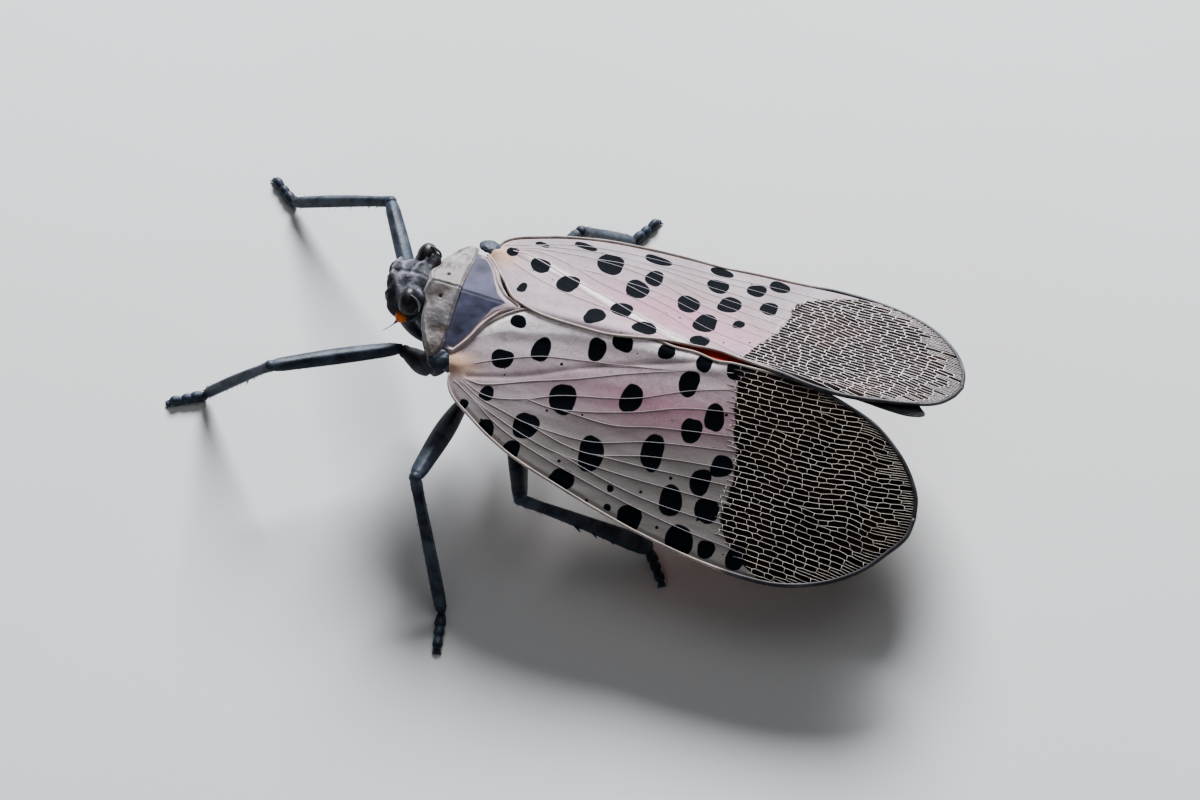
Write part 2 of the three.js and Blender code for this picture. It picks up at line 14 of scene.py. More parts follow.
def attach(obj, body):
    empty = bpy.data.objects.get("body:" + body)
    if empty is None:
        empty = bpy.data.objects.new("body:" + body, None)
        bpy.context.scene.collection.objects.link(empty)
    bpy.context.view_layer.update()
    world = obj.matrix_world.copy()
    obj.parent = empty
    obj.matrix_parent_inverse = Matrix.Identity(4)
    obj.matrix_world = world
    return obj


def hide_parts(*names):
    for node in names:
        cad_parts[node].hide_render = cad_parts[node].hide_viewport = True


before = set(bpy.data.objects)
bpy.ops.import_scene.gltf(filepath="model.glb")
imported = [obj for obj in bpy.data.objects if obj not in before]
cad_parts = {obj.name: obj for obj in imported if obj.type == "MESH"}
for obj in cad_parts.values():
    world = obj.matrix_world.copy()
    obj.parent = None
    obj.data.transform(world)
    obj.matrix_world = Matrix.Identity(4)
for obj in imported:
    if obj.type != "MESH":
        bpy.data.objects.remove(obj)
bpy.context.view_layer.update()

MM = 0.001
# Shift from the drawing's zero point to the frame's
ORIGIN = np.array([-4.73, 0.33, 0.0])

SIDES = {"left": -1, "right": 1}

# Camera: place in the drawing, direction towards it, roll and lens
CAMERA_PLACE = (39.05, -144.18, 200.23)
CAMERA_AZIMUTH = 12.7
CAMERA_ELEVATION = 53.19
CAMERA_ROLL = 4.04
CAMERA_LENS = 170
CAMERA_SENSOR = 36

# Lights in metres: place, size, power and colour
LIGHT_TARGET = (0, 0, 0.004)
LIGHTS = {
    "key": ((-0.04, 0.26, 0.175), 0.14, 2.4, (0.93, 0.95, 1.0)),
    "fill": ((-0.05, -0.25, 0.22), 0.3, 0.07, (0.93, 0.96, 1.0)),
    "top": ((0.05, 0.02, 0.35), 0.25, 0.12, (0.95, 0.97, 1.0)),
}
SKY_COLOR = (0.8, 0.84, 0.9, 1)
SKY_STRENGTH = 0.11
FLOOR_HALF_SIZE = 1.5

# The wing roof: ridge height and slope along x, and how the slope grows sideways
RIDGE_HEIGHT = [(0, 7.8), (2.7, 7.85), (6.5, 7.95), (12.3, 7.83), (22, 7.5)]
ROOF_SLOPE = [(0, 14), (10, 22.5)]
ROOF_BEND = math.radians(0.3)
ROOF_CREST = 0.2
WING_LAP = 0.1

# Forewing outline on the flat wing: (x, distance from the ridge)
WING_HINGE = (0.35, 3.4)
WING_TURN = {"left": 0.0, "right": -3.4}
WING_TIP = {"left": (21.45, 4.55), "right": (21.78, 4.2)}
COSTAL_FRONT = [
    (0.7, 3.73), (0.85, 4.3), (1.2, 4.75), (1.9, 5.25), (3.1, 6.0), (4.6, 6.7), (6.5, 7.3), (8.5, 7.85),
    (11, 8.4), (13.2, 8.75),
]
COSTAL_EDGE = {
    "left": COSTAL_FRONT + [(15, 8.9), (16.7, 8.8), (18.4, 8.25), (19.8, 7.35), (20.75, 6.25), (21.33, 5.4)],
    "right": COSTAL_FRONT + [(15, 9.1), (16.7, 9.15), (18.4, 8.8), (19.8, 8.0), (20.9, 6.75), (21.55, 5.4)],
}
INNER_EDGE = {
    "left": [
        (0.41, 2.76), (0.75, 2.4), (1.09, 1.95), (1.44, 1.35), (1.96, 0.76), (2.5, 0.33), (3.06, 0.02),
        (4, -0.15), (6, -0.2), (8.6, -0.12), (9.6, 0.08), (10.6, 0.06), (11.6, 0.2), (12.3, 0.1), (14.9, 0.1),
        (16.3, 0.3), (17.5, 0.62), (18.8, 1.1), (20, 1.95), (20.75, 2.75), (21.28, 3.65),
    ],
    "right": [
        (0.5, 3.0), (0.8, 2.75), (1.4, 2.05), (1.89, 1.42), (2.3, 0.85), (2.75, 0.45), (3.3, 0.18),
        (4.2, 0.03), (5.8, 0), (7, 0.06), (8.1, 0.3), (9.3, 0.62), (10.7, 0.9), (11.7, 1.1), (12.8, 0.95),
        (14.3, 0.87), (15.9, 0.75), (17.4, 0.8), (18.9, 1.1), (20.1, 1.55), (21.1, 2.25), (21.6, 3.2),
    ],
}
WING_ROWS = 250
WING_COLUMNS = 120
MEMBRANE_THICKNESS = 0.09

# Relief of the forewing
WAVE_HEIGHT = 0.02
VEIN_SWELL = 0.012
VEIN_SWELL_REACH = 0.15
SUTURE_DEPTH = 0.035
SUTURE_REACH = 0.12
# Reach of the painted shade along the suture's groove
SUTURE_LINE_REACH = 0.07
CREST_RISE = 0.07
CREST_REACH = 0.25
EDGE_DROP = 0.05
LEFT_SEAM_DROP = 0.06
# Fold that parts the flat strip beside the ridge from the sloping wing
CREST_FOLD = [(1.25, 1.9), (2.2, 1.38), (3.85, 0.98), (5.54, 0.68), (8, 0.6), (11, 0.55), (12.6, 0.4)]

# Mounds and zones of the forewing: (x, distance from the ridge, reach along, reach across, height)
HINGE_MOUND = [(0.85, 3.25, 0.5, 0.42, 0.16)]
PINK_ZONE = [(9.7, 2.9, 4.2, 1.9, 0.9)]
ROOT_ZONE = [(0.9, 3.2, math.sqrt(0.9), math.sqrt(0.4), 0.95)]
# How far each wing's front part is greyed: partly its own greyer tone, and on the left wing mostly painted
# shade where the roof slopes away from the light
COSTAL_GREY_AND_SHADE = {"left": 0.85, "right": 0.25}
WING_TINTS = {
    "pink": (0.52, 0.27, 0.34),
    # Grey of the front part: partly its own tone, partly painted shade
    "costal": (0.24, 0.23, 0.21),
    # Pale tint: a pale band by the suture on the right wing; on the left wing the strip beside the ridge,
    # partly its lighter colour and partly painted highlight
    "pale_band_and_crest_highlight": (0.9, 0.81, 0.82),
    "root": (0.62, 0.4, 0.27),
}
# Where the dark netted part of the wing starts: (distance from the ridge, x)
NET_START = [
    (0, 12.5), (1.6, 12.8), (2.9, 13.1), (4.1, 13.5), (5.4, 13.6), (7.2, 13.7), (8.2, 14.8), (8.9, 15.8),
]

# Main veins of the forewing on the flat wing
CLAVAL_VEIN = [
    (0.95, 3.35), (2.3, 2.7), (3.6, 2.2), (4.5, 1.95), (6.3, 1.7), (8, 1.45), (10.4, 1.0), (12, 0.5),
]
CLAVAL_SUTURE = [(1.5, 3.65), (3.8, 3.0), (6.2, 2.0), (9, 1.05), (10.7, 0.5), (11.6, 0.25)]
CUBITAL_VEIN = [(1.4, 3.8), (2.2, 3.85), (4.1, 3.2), (6, 2.6), (8.2, 1.75), (10.8, 0.9), (12.4, 0.55)]
COSTAL_VEIN = [
    (1.0, 4.0), (2.1, 4.65), (2.9, 5.2), (4, 5.75), (5.8, 6.35), (7.2, 6.7), (8.5, 7), (10.6, 7.4),
    (12.5, 7.7), (14.5, 7.9),
]
BRANCH_VEINS = [
    [(1.5, 3.95), (2.2, 4.25), (2.9, 4.3), (4.2, 4.0), (5.5, 3.5), (8.5, 2.8), (10.7, 1.85), (12.7, 1.2)],
    [(4.2, 4.0), (5.7, 4.1), (8.6, 3.4), (10.8, 2.6), (13, 2.2)],
    [(5.7, 4.1), (8, 4.15), (10, 3.7), (13.3, 3.2)],
    [(1.3, 3.95), (2.2, 4.45), (3.3, 4.75), (4.6, 5.05), (7.3, 5.1), (9.8, 4.4), (13.5, 3.8)],
    [(4.6, 5.05), (6.2, 5.5), (7.6, 5.6), (10, 5.0), (13.6, 4.6)],
    [(7.6, 5.6), (10.1, 5.5), (13.8, 5.3)],
    [(2.1, 4.65), (3.2, 5.1), (4.6, 5.6), (6.1, 5.95), (8.8, 6.1), (13.8, 6.1)],
    [(6.1, 5.95), (8.8, 6.6), (11, 6.9), (14, 7.0)],
]
MAIN_VEINS = [CLAVAL_VEIN, CUBITAL_VEIN, COSTAL_VEIN, *BRANCH_VEINS]
CUBITAL_STRENGTH = 1.5
VEIN_HALF_WIDTH = 0.022
VEIN_HEIGHT = 0.017
RIM_HALF_WIDTH = 0.06
RIM_HEIGHT = 0.06
RIDGE_SECTION = np.array([(-1, -0.8), (-0.75, 0.55), (0, 1), (0.75, 0.55), (1, -0.8)])

# Black spots of each forewing: (x, distance from the ridge, length, width)
SPOTS = {
    "left": [
        (2.9, 0.7, 0.7, 0.6), (2.7, 2.5, 0.9, 0.9), (4.2, 1.7, 0.8, 1.1), (6.5, 1.1, 0.8, 1.0),
        (7.5, 0.52, 0.9, 0.8), (9.4, 0.4, 0.7, 0.7), (11.1, 0.4, 0.7, 0.9), (12.6, 0.45, 1.1, 0.75),
        (5.7, 3.6, 1.1, 1.4), (8.5, 2.8, 0.9, 1.3), (10.7, 1.5, 0.9, 1.1), (12.15, 2.65, 0.85, 1.2),
        (11.35, 3.45, 0.85, 1.15), (2.5, 4.2, 0.6, 0.7), (1.7, 4.9, 0.4, 0.4), (2.9, 5.7, 0.7, 0.8),
        (4.5, 5.15, 1.05, 1.2), (4.2, 6.3, 0.75, 0.75), (7.5, 5.6, 1.1, 1.5), (10.0, 4.8, 0.9, 1.7),
        (13.0, 4.6, 0.9, 1.0), (12.3, 5.5, 0.9, 1.1), (11.3, 6.6, 1.0, 1.3), (12.9, 6.6, 1.0, 1.1),
        (6.6, 7.0, 1.1, 0.9), (9.8, 7.8, 1.1, 1.1), (12.1, 8.1, 1.2, 1.2), (13.3, 8.2, 0.7, 0.8),
        (14.6, 8.2, 0.8, 1.1), (8.7, 6.8, 0.3, 0.3), (8.8, 7.6, 0.3, 0.3),
    ],
    "right": [
        (1.4, 3.7, 0.5, 0.7), (2.4, 4.9, 0.6, 0.4), (2.8, 3.4, 0.9, 1.0), (2.6, 1.5, 0.4, 0.7),
        (4.3, 2.7, 0.9, 1.4), (4.1, 5.8, 1.0, 0.5), (5.5, 5.1, 1.2, 1.5), (6.1, 0.9, 0.9, 1.2),
        (7.0, 2.0, 0.9, 1.1), (7.1, 3.9, 1.0, 1.5), (7.5, 5.2, 0.8, 1.2), (7.2, 6.7, 1.2, 0.7),
        (8.3, 1.1, 1.0, 1.1), (9.4, 4.1, 1.0, 1.4), (10.5, 3.0, 1.0, 1.5), (10.7, 1.4, 0.8, 1.0),
        (9.9, 7.7, 1.0, 0.8), (10.1, 6.4, 1.0, 1.1), (11.0, 5.1, 1.0, 1.4), (11.7, 7.0, 0.8, 1.1),
        (12.5, 7.9, 0.9, 1.0), (12.6, 5.8, 0.8, 1.1), (11.8, 3.7, 0.5, 0.7), (13.7, 3.9, 0.3, 0.4),
        (13.7, 6.7, 0.3, 0.5),
    ],
}
SPOT_SQUARENESS = 2.4

# The net of fine veins: lines run towards the wing's edge, part in two, and are joined by cross veins
NET_ORIGIN_X = 13.4
NET_END_X = 22
NET_FIRST = -0.35
NET_SPAN = 9.7
NET_LINES = 42
NET_BRANCHES = 7
NET_BRANCH_X = (14.4, 19.0)
NET_BRANCH_LENGTH = 1.5
NET_CURL = [(0, -0.006), (0.35, -0.011), (0.6, -0.008), (0.85, 0.006), (1, 0.012)]
NET_SEED = {"left": 7, "right": 19}
CELL_LENGTH = (0.4, 0.82)
HALF_LINE_LENGTH = (0.6, 1.5)
NET_HALF_WIDTH = {"left": 0.019, "right": 0.022}
NET_HEIGHT = 0.03
NET_KINK = 0.018
NET_KINK_REACH = 0.12
NET_SWAY = 0.007
CROSS_TAPER = 0.95

# Hindwing, folded flat just under the forewing
HINDWING_DEPTH = 0.3
HINDWING_THICKNESS = 0.07
HINDWING_OUTER = {
    "left": [(3, 2.4), (5, 3.6), (9, 4.9), (13, 5.4), (16, 5.2), (18.2, 4.3), (19.2, 3.1)],
    "right": [(3, 2.4), (5, 3.6), (9, 4.9), (13, 5.4), (16, 4.8), (18.4, 3.2), (20.1, 1.3), (20.7, 0.4)],
}
HINDWING_INNER = {
    "left": [(3, 0.35), (6, 0.2), (9, 0.04), (12.5, 0.04), (15, 0.35), (17, 0.85), (18.5, 1.8), (19.2, 3.1)],
    "right": [
        (3, 0.35), (6, 0.2), (9, 0.04), (12.5, 0.04), (17, 0.05), (19, -0.2), (20.3, -0.15), (20.7, 0.4),
    ],
}
HINDWING_ROWS = 90
HINDWING_COLUMNS = 40
PLEATS = 7
PLEAT_HEIGHT = 0.05

# Body stations: (x, half width, top, bottom)
HEAD_STATIONS = [
    (-3.1, 0.8, 7.75, 6.95), (-3.04, 1.08, 8.02, 6.55), (-2.75, 1.2, 8.2, 6.05), (-2.2, 1.25, 8.34, 5.75),
    (-1.8, 1.22, 8.36, 5.9), (-1.5, 1.18, 8.3, 6.1), (-1.3, 1.1, 8.1, 6.2),
]
HEAD_TURN = math.radians(9)
HEAD_PIVOT_X = -1.5
HEAD_SHIFT = 0.15
NECK_STATIONS = [(-1.7, 0.9, 7.9, 5.9), (-1.2, 1.35, 7.5, 5.3), (-0.7, 1.7, 7.2, 5.0)]
THORAX_STATIONS = [
    (-1.15, 1.5, 7.1, 5.0), (-0.9, 2.0, 7.3, 4.8), (0, 2.6, 7.3, 4.6), (1.2, 2.75, 7.1, 4.3),
    (2.5, 2.45, 6.5, 4.15), (3.7, 2.1, 6.0, 4.1), (4.6, 1.9, 5.6, 4.2),
]
ABDOMEN_START_X = 4.0
ABDOMEN_SEGMENT_LENGTHS = [1.6, 1.35, 1.35, 1.3, 1.2, 1.05, 0.9]
ABDOMEN_HALF_WIDTH = [(4, 1.9), (5.5, 2.6), (8, 2.75), (10.5, 2.2), (12.2, 1.3), (12.75, 0.5)]
ABDOMEN_TOP = [(4, 5.6), (6, 5.8), (9, 5.65), (11.5, 5.2), (12.75, 4.75)]
ABDOMEN_BOTTOM = [(4, 4.1), (6, 3.3), (8, 3.15), (10.5, 3.4), (12.2, 3.9), (12.75, 4.3)]
SKIN_VOXEL = 0.07

# Relief of the head: stretch and height of its wrinkles, rim round its crown, and its middle groove
WRINKLE_STRETCH = np.array([1.7, 0.9, 1.1])
WRINKLE_HEIGHT = 0.11
CROWN_RIM_X = -2.92
CROWN_RIM_HEIGHT = 0.1
CROWN_GROOVE_DEPTH = 0.07
# Ridges that frame the face: (height, distance from its middle)
FACE_RIDGE = [(6.3, 0.3), (6.9, 0.5), (7.7, 0.72)]
FACE_GROOVE_Z = 6.62
# Seams of the thorax: (x at half its height, lean)
THORAX_SEAMS = [(-0.2, 0.25), (0.75, 0.3), (2.2, 0.35)]
THORAX_MIDDLE_Z = 5.6
THORAX_SEAM_DEPTH = 0.13

EYE_CENTRE = {"left": (-1.88, -1.15, 7.86), "right": (-1.85, 1.5, 7.74)}
EYE_RADII = (0.45, 0.6, 0.62)
EYE_SOCKET_RADII = (0.6, 0.62, 0.66)
BULB_CENTRE = {"left": (-2.1, -1.47, 7.08), "right": (-2.2, 1.62, 7.08)}
BULB_RADIUS = 0.27
BULB_SOCKET_RADII = (0.34, 0.5, 0.42)
BRISTLE_REACH = (-0.66, 0.6, -0.5)
BEAK_PATH = [
    (-2.6, -0.05, 6.4), (-2.45, 0, 5.7), (-2.2, 0, 4.85), (-1.75, 0, 4.25), (-1.0, 0, 3.95), (0.6, 0, 3.65),
    (2.9, 0, 3.3),
]
BEAK_RADII = [0.5, 0.36, 0.27, 0.24, 0.21, 0.18, 0.1]

PRONOTUM_HALF_WIDTH = 3.2
PRONOTUM_FRONT = [(0, -1.33), (0.6, -1.46), (1.1, -1.22), (1.7, -1.15), (2.35, -0.88), (3.2, -0.4)]
PRONOTUM_HIND = [(0, 0.12), (1.5, 0.1), (2.5, 0.12), (3.2, 0.0)]
PRONOTUM_TOP = [(0, 8.27), (0.15, 8.24), (1, 7.95), (2, 7.62), (2.7, 7.38), (3.2, 7.08)]
PRONOTUM_GRID = (70, 200)
# Pits and swellings of the pronotum: (x, distance from the middle, reach along, reach across, height)
PRONOTUM_MOUNDS = [
    (-0.62, 0.62, 0.07, 0.06, -0.09), (-0.35, 2.0, 0.3, 0.45, -0.1), (-0.6, 1.25, 0.35, 0.4, 0.08),
]
PRONOTUM_PITS = [(-0.62, 0.62, 0.055, 0.045, 1.0)]
MESONOTUM_HALF_WIDTH = 2.8
MESONOTUM_FRONT_X = -0.1
MESONOTUM_HIND = [(0, 2.92), (0.12, 2.75), (0.4, 2.22), (0.7, 1.95), (1.1, 1.65), (2, 1.2), (2.8, 0.6)]
MESONOTUM_TOP = [(0, 8.08), (0.15, 8.06), (1, 7.83), (2.1, 7.5), (2.8, 7.2)]
MESONOTUM_FALL = 0.1
MESONOTUM_GRID = (100, 180)
MESONOTUM_PATCH = [(0.55, 1.75, 0.28, 0.3, 0.7)]
PLATE_THICKNESS = 0.6
PLATE_EDGE_DROP = 0.09
MIDDLE_LINE_REACH = 0.05
TEGULA_CENTRE = {"left": (0.1, -3.15, 7.0), "right": (0.42, 3.45, 6.95)}
TEGULA_RADII = (0.46, 0.42, 0.15)
TEGULA_SLOPE = 0.35

# Legs: root of the coxa and hip on the right side, then each leg's knee, ankle and claw tip
LEG_ROOTS = {
    "fore": [(-0.5, 1.5, 3.95), (-2.2, 1.25, 4.5)],
    "middle": [(1.25, 1.35, 3.6), (1.0, 2.4, 3.3)],
    "hind": [(3.2, 1.15, 3.4), (3.3, 2.0, 2.85)],
}
LEGS = {
    "left_fore": [(-7.1, -4.3, 5.1), (-10.4, -3.2, 0.4), (-12.1, -4.15, 0)],
    "right_fore": [(-5.0, 6.5, 4.4), (-10.0, 8.2, 0.4), (-11.5, 9.55, 0)],
    "left_middle": [(0.5, -7.8, 4.7), (2.8, -11.2, 0.4), (3.2, -13.3, 0)],
    "right_middle": [(3.6, 7.0, 5.0), (5.1, 10.7, 0.4), (6.0, 12.6, 0)],
    "left_hind": [(5.0, -7.2, 4.2), (10.4, -5.3, 0.4), (11.5, -7.0, 0)],
    "right_hind": [(5.2, 6.9, 4.0), (10.5, 5.5, 0.4), (11.7, 7.2, 0)],
}
# Radii along each segment: (share of its length, radius)
COXA_SHAPE = [(0, 0.45), (0.35, 0.56), (0.6, 0.52), (0.8, 0.38), (0.88, 0.28), (0.94, 0.31), (1, 0.12)]
FEMUR_SHAPE = {
    "fore": [(0, 0.2), (0.08, 0.29), (0.45, 0.35), (0.85, 0.31), (0.96, 0.28), (1, 0.2)],
    "middle": [(0, 0.2), (0.08, 0.3), (0.4, 0.42), (0.85, 0.35), (0.96, 0.3), (1, 0.2)],
    "hind": [(0, 0.2), (0.08, 0.3), (0.45, 0.42), (0.85, 0.34), (0.96, 0.3), (1, 0.2)],
}
TIBIA_SHAPE = {
    "fore": [(0, 0.2), (0.04, 0.27), (0.12, 0.25), (0.5, 0.29), (0.95, 0.28), (1, 0.2)],
    "middle": [(0, 0.2), (0.04, 0.27), (0.12, 0.24), (0.5, 0.26), (0.95, 0.27), (1, 0.2)],
    "hind": [(0, 0.2), (0.04, 0.28), (0.12, 0.26), (0.5, 0.34), (0.93, 0.45), (1, 0.3)],
}
TARSUS_SHAPE = [
    (0, 0.13), (0.08, 0.2), (0.34, 0.25), (0.38, 0.17), (0.42, 0.2), (0.6, 0.23), (0.64, 0.15),
    (0.68, 0.17), (0.93, 0.22), (1, 0.13),
]
FEMUR_BOW = 0.05
FEMUR_KEEL = 0.12
TIBIA_BOW = 0.06
TIBIA_KEEL = 0.16
KNEE_RADII = (0.27, 0.27, 0.25)
PAD_RADII = (0.14, 0.14, 0.085)
LEG_DEPTH = 0.86
LEG_SIDES = 28
LEG_RINGS = 60
CLAW_LENGTH = 0.36
CLAW_TURN = 0.5
SPINE_SHARES = [0.42, 0.55, 0.68, 0.8]
SPINE_LENGTH = 0.42
SPINE_RADIUS = 0.12
# Spines round each tibia's end: (number, length)
SPINE_CROWN = {"fore": (4, 0.3), "middle": (4, 0.3), "hind": (7, 0.4)}
SPINE_CROWN_ARC = math.pi * 1.3
HAIRS = 150
HAIRS_ON_TIBIA = 0.55
HAIR_LENGTH = (0.16, 0.3)
HAIR_RADIUS = 0.018


def profile(pairs, values):
    """Smooth curve through (input, value) pairs, flat beyond its ends."""
    inputs, outputs = np.array(pairs, float).T
    slopes = np.empty_like(outputs)
    slopes[1:-1] = (outputs[2:] - outputs[:-2]) / (inputs[2:] - inputs[:-2])
    slopes[0] = (outputs[1] - outputs[0]) / (inputs[1] - inputs[0])
    slopes[-1] = (outputs[-1] - outputs[-2]) / (inputs[-1] - inputs[-2])
    at = np.clip(np.asarray(values, float), inputs[0], inputs[-1])
    index = np.clip(np.searchsorted(inputs, at, side="right") - 1, 0, len(inputs) - 2)
    span = inputs[index + 1] - inputs[index]
    t = (at - inputs[index]) / span
    first = (2 * t**3 - 3 * t**2 + 1) * outputs[index] + (t**3 - 2 * t**2 + t) * span * slopes[index]
    second = (3 * t**2 - 2 * t**3) * outputs[index + 1] + (t**3 - t**2) * span * slopes[index + 1]
    return first + second


def curve(points, shares):
    """Smooth curve through points, at shares of its length."""
    points = np.array(points, float)
    steps = np.linalg.norm(np.diff(points, axis=0), axis=1)
    lengths = np.concatenate([[0], np.cumsum(steps)])
    at = np.asarray(shares) * lengths[-1]
    return np.stack([profile(list(zip(lengths, column)), at) for column in points.T], -1)


def smoothstep(low, high, value):
    t = np.clip((value - low) / (high - low), 0, 1)
    return t * t * (3 - 2 * t)


def bell(offset, reach):
    """Smooth mound of height 1 round an offset of 0."""
    return np.exp(-((offset / reach) ** 2))


def mounds(x, y, table):
    """Sum of mounds given as (x, y, reach in x, reach in y, height)."""
    return sum(size * bell(x - a, reach_x) * bell(y - b, reach_y) for a, b, reach_x, reach_y, size in table)


def shares_of(count):
    """Even steps from 0 to 1."""
    return np.linspace(0, 1, count)


def full_turn(count):
    return np.linspace(0, 2 * math.pi, count, endpoint=False)


def unit(vector):
    return vector / np.linalg.norm(vector)


def turned(vector, angle, axis):
    """Vector turned about an axis."""
    return np.array(Matrix.Rotation(angle, 3, Vector(axis)) @ Vector(vector))


def flat(x, y, z=0.0):
    """Points at one height, for noise that varies over a plane."""
    return np.stack([x, y, np.full(np.shape(x), z)], -1).reshape(-1, 3)


def roughness_of(points, scale, detail=3):
    """Fractal noise at each point, between about -1 and 1."""
    return np.array([noise.fractal(Vector(p) * scale, 1.0, 2.0, detail) for p in points])


def distance_to_line(points, line):
    """Distance from points to a line of points, both on the flat wing."""
    best = np.full(len(points), 1e9)
    for start, end in zip(line[:-1], line[1:]):
        step = end - start
        offset = points - start
        t = np.clip((offset @ step) / max(step @ step, 1e-9), 0, 1)
        best = np.minimum(best, np.linalg.norm(offset - t[:, None] * step, axis=1))
    return best


def add_object(name, data):
    made = bpy.data.objects.new(name, data)
    bpy.context.scene.collection.objects.link(made)
    return made


def add_mesh(name, points, faces):
    mesh = bpy.data.meshes.new(name)
    mesh.from_pydata(points, [], faces)
    return add_object(name, mesh)


def make_piece(name, points, faces, material, replaced=(), values=None):
    """Mesh piece from millimetre points, with float values stored for its material."""
    piece = add_mesh(name, ((np.asarray(points) + ORIGIN) * MM).tolist(), faces)
    mesh = piece.data
    for key, data in (values or {}).items():
        data = np.broadcast_to(data, len(points)).astype(np.float32)
        mesh.attributes.new(key, "FLOAT", "POINT").data.foreach_set("value", data)
    mesh.validate()
    mesh.update()
    mesh.materials.append(material)
    mesh.polygons.foreach_set("use_smooth", [True] * len(mesh.polygons))
    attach(piece, "root")
    if replaced:
        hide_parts(*replaced)


class Solid:
    """Points and faces gathered from several closed shapes."""

    def __init__(self):
        self.points = []
        self.faces = []
        self.values = {}
        self.count = 0

    def add(self, points, faces, **values):
        points = np.asarray(points, float).reshape(-1, 3)
        self.faces.extend([[index + self.count for index in face] for face in faces])
        self.points.append(points)
        self.count += len(points)
        for key, data in values.items():
            self.values.setdefault(key, []).append(np.broadcast_to(data, len(points)))

    def piece(self, name, material, slot, replaced=()):
        values = {key: np.concatenate(data) for key, data in self.values.items()}
        make_piece(name, np.concatenate(self.points), self.faces, material, replaced, values)


def ring_faces(rings, sides):
    """Faces of a closed skin over rings of points, with both ends capped."""
    index = np.arange(rings * sides).reshape(rings, sides)
    a = index[:-1].ravel()
    b = np.roll(index, -1, axis=1)[:-1].ravel()
    faces = np.stack([a, b, b + sides, a + sides], -1).tolist()
    return faces + [index[0, ::-1].tolist(), index[-1].tolist()]


def sheet_faces(rows, columns):
    """Faces of a closed sheet: an upper grid of points followed by a lower one."""
    index = np.arange(rows * columns).reshape(rows, columns)
    under = index.size
    a = index[:-1, :-1].ravel()
    upper = np.stack([a, a + 1, a + columns + 1, a + columns], -1)
    faces = np.concatenate([upper, under + upper[:, [0, 3, 2, 1]]], axis=1).reshape(-1, 4)
    rim = np.concatenate([index[0], index[1:, -1], index[-1, -2::-1], index[-2:0:-1, 0]])
    after = np.roll(rim, -1)
    return faces.tolist() + np.stack([rim, under + rim, under + after, after], -1).tolist()


def make_sheet(node, ending, upper, lower, columns, material, values):
    """Closed sheet between two grids of points, which replaces one node."""
    points = np.concatenate([upper, lower])
    both = {key: np.tile(data, 2) for key, data in values.items()}
    faces = sheet_faces(len(upper) // columns, columns)
    make_piece(f"{node}_{ending}", points, faces, material, [node], both)


def dome(centre, radii, rows=40, columns=64):
    """Closed ellipsoid with rings round the y axis: points, faces and unit directions."""
    polar = np.linspace(0.02, math.pi - 0.02, rows)
    p, a = np.meshgrid(polar, full_turn(columns), indexing="ij")
    way = np.stack([np.sin(p) * np.cos(a), -np.cos(p), np.sin(p) * np.sin(a)], -1).reshape(-1, 3)
    return np.array(centre) + way * np.array(radii), ring_faces(rows, columns), way


def tube(path, radii, sides=16, depth=1.0):
    """Closed tube along a path, with its radius at each point."""
    path = np.asarray(path, float)
    heading = np.gradient(path, axis=0)
    heading /= np.linalg.norm(heading, axis=1)[:, None]
    level = np.stack([-heading[:, 1], heading[:, 0], np.zeros(len(path))], -1)
    level[np.linalg.norm(level, axis=1) < 1e-6] = (0, 1, 0)
    level /= np.linalg.norm(level, axis=1)[:, None]
    upright = np.cross(heading, level)
    angle = full_turn(sides)[None, :, None]
    radii = np.asarray(radii, float)[:, None, None]
    ring = level[:, None] * np.cos(angle) + depth * upright[:, None] * np.sin(angle)
    return (path[:, None] + radii * ring).reshape(-1, 3), ring_faces(len(path), sides)


def signed_power(value, power):
    return np.sign(value) * np.abs(value) ** power


def oval_rings(x, half, top, bottom, sides, roundness):
    """Rings across x from half widths, tops and bottoms; roundness bends the sides and the top."""
    angle = full_turn(sides)
    half, top, bottom = half[:, None], top[:, None], bottom[:, None]
    y = half * signed_power(np.cos(angle), roundness[0])
    z = (top + bottom) / 2 + (top - bottom) / 2 * signed_power(np.sin(angle), roundness[1])
    return np.stack([np.broadcast_to(x[:, None], y.shape), y, z], -1)


def trunk_rings(stations, sides, roundness, count):
    """Rings of a body part from stations of (x, half width, top, bottom)."""
    stations = np.array(stations, float)
    x = np.linspace(stations[0, 0], stations[-1, 0], count)
    sizes = [profile(stations[:, [0, k]], x) for k in (1, 2, 3)]
    return oval_rings(x, *sizes, sides, (roundness, roundness))


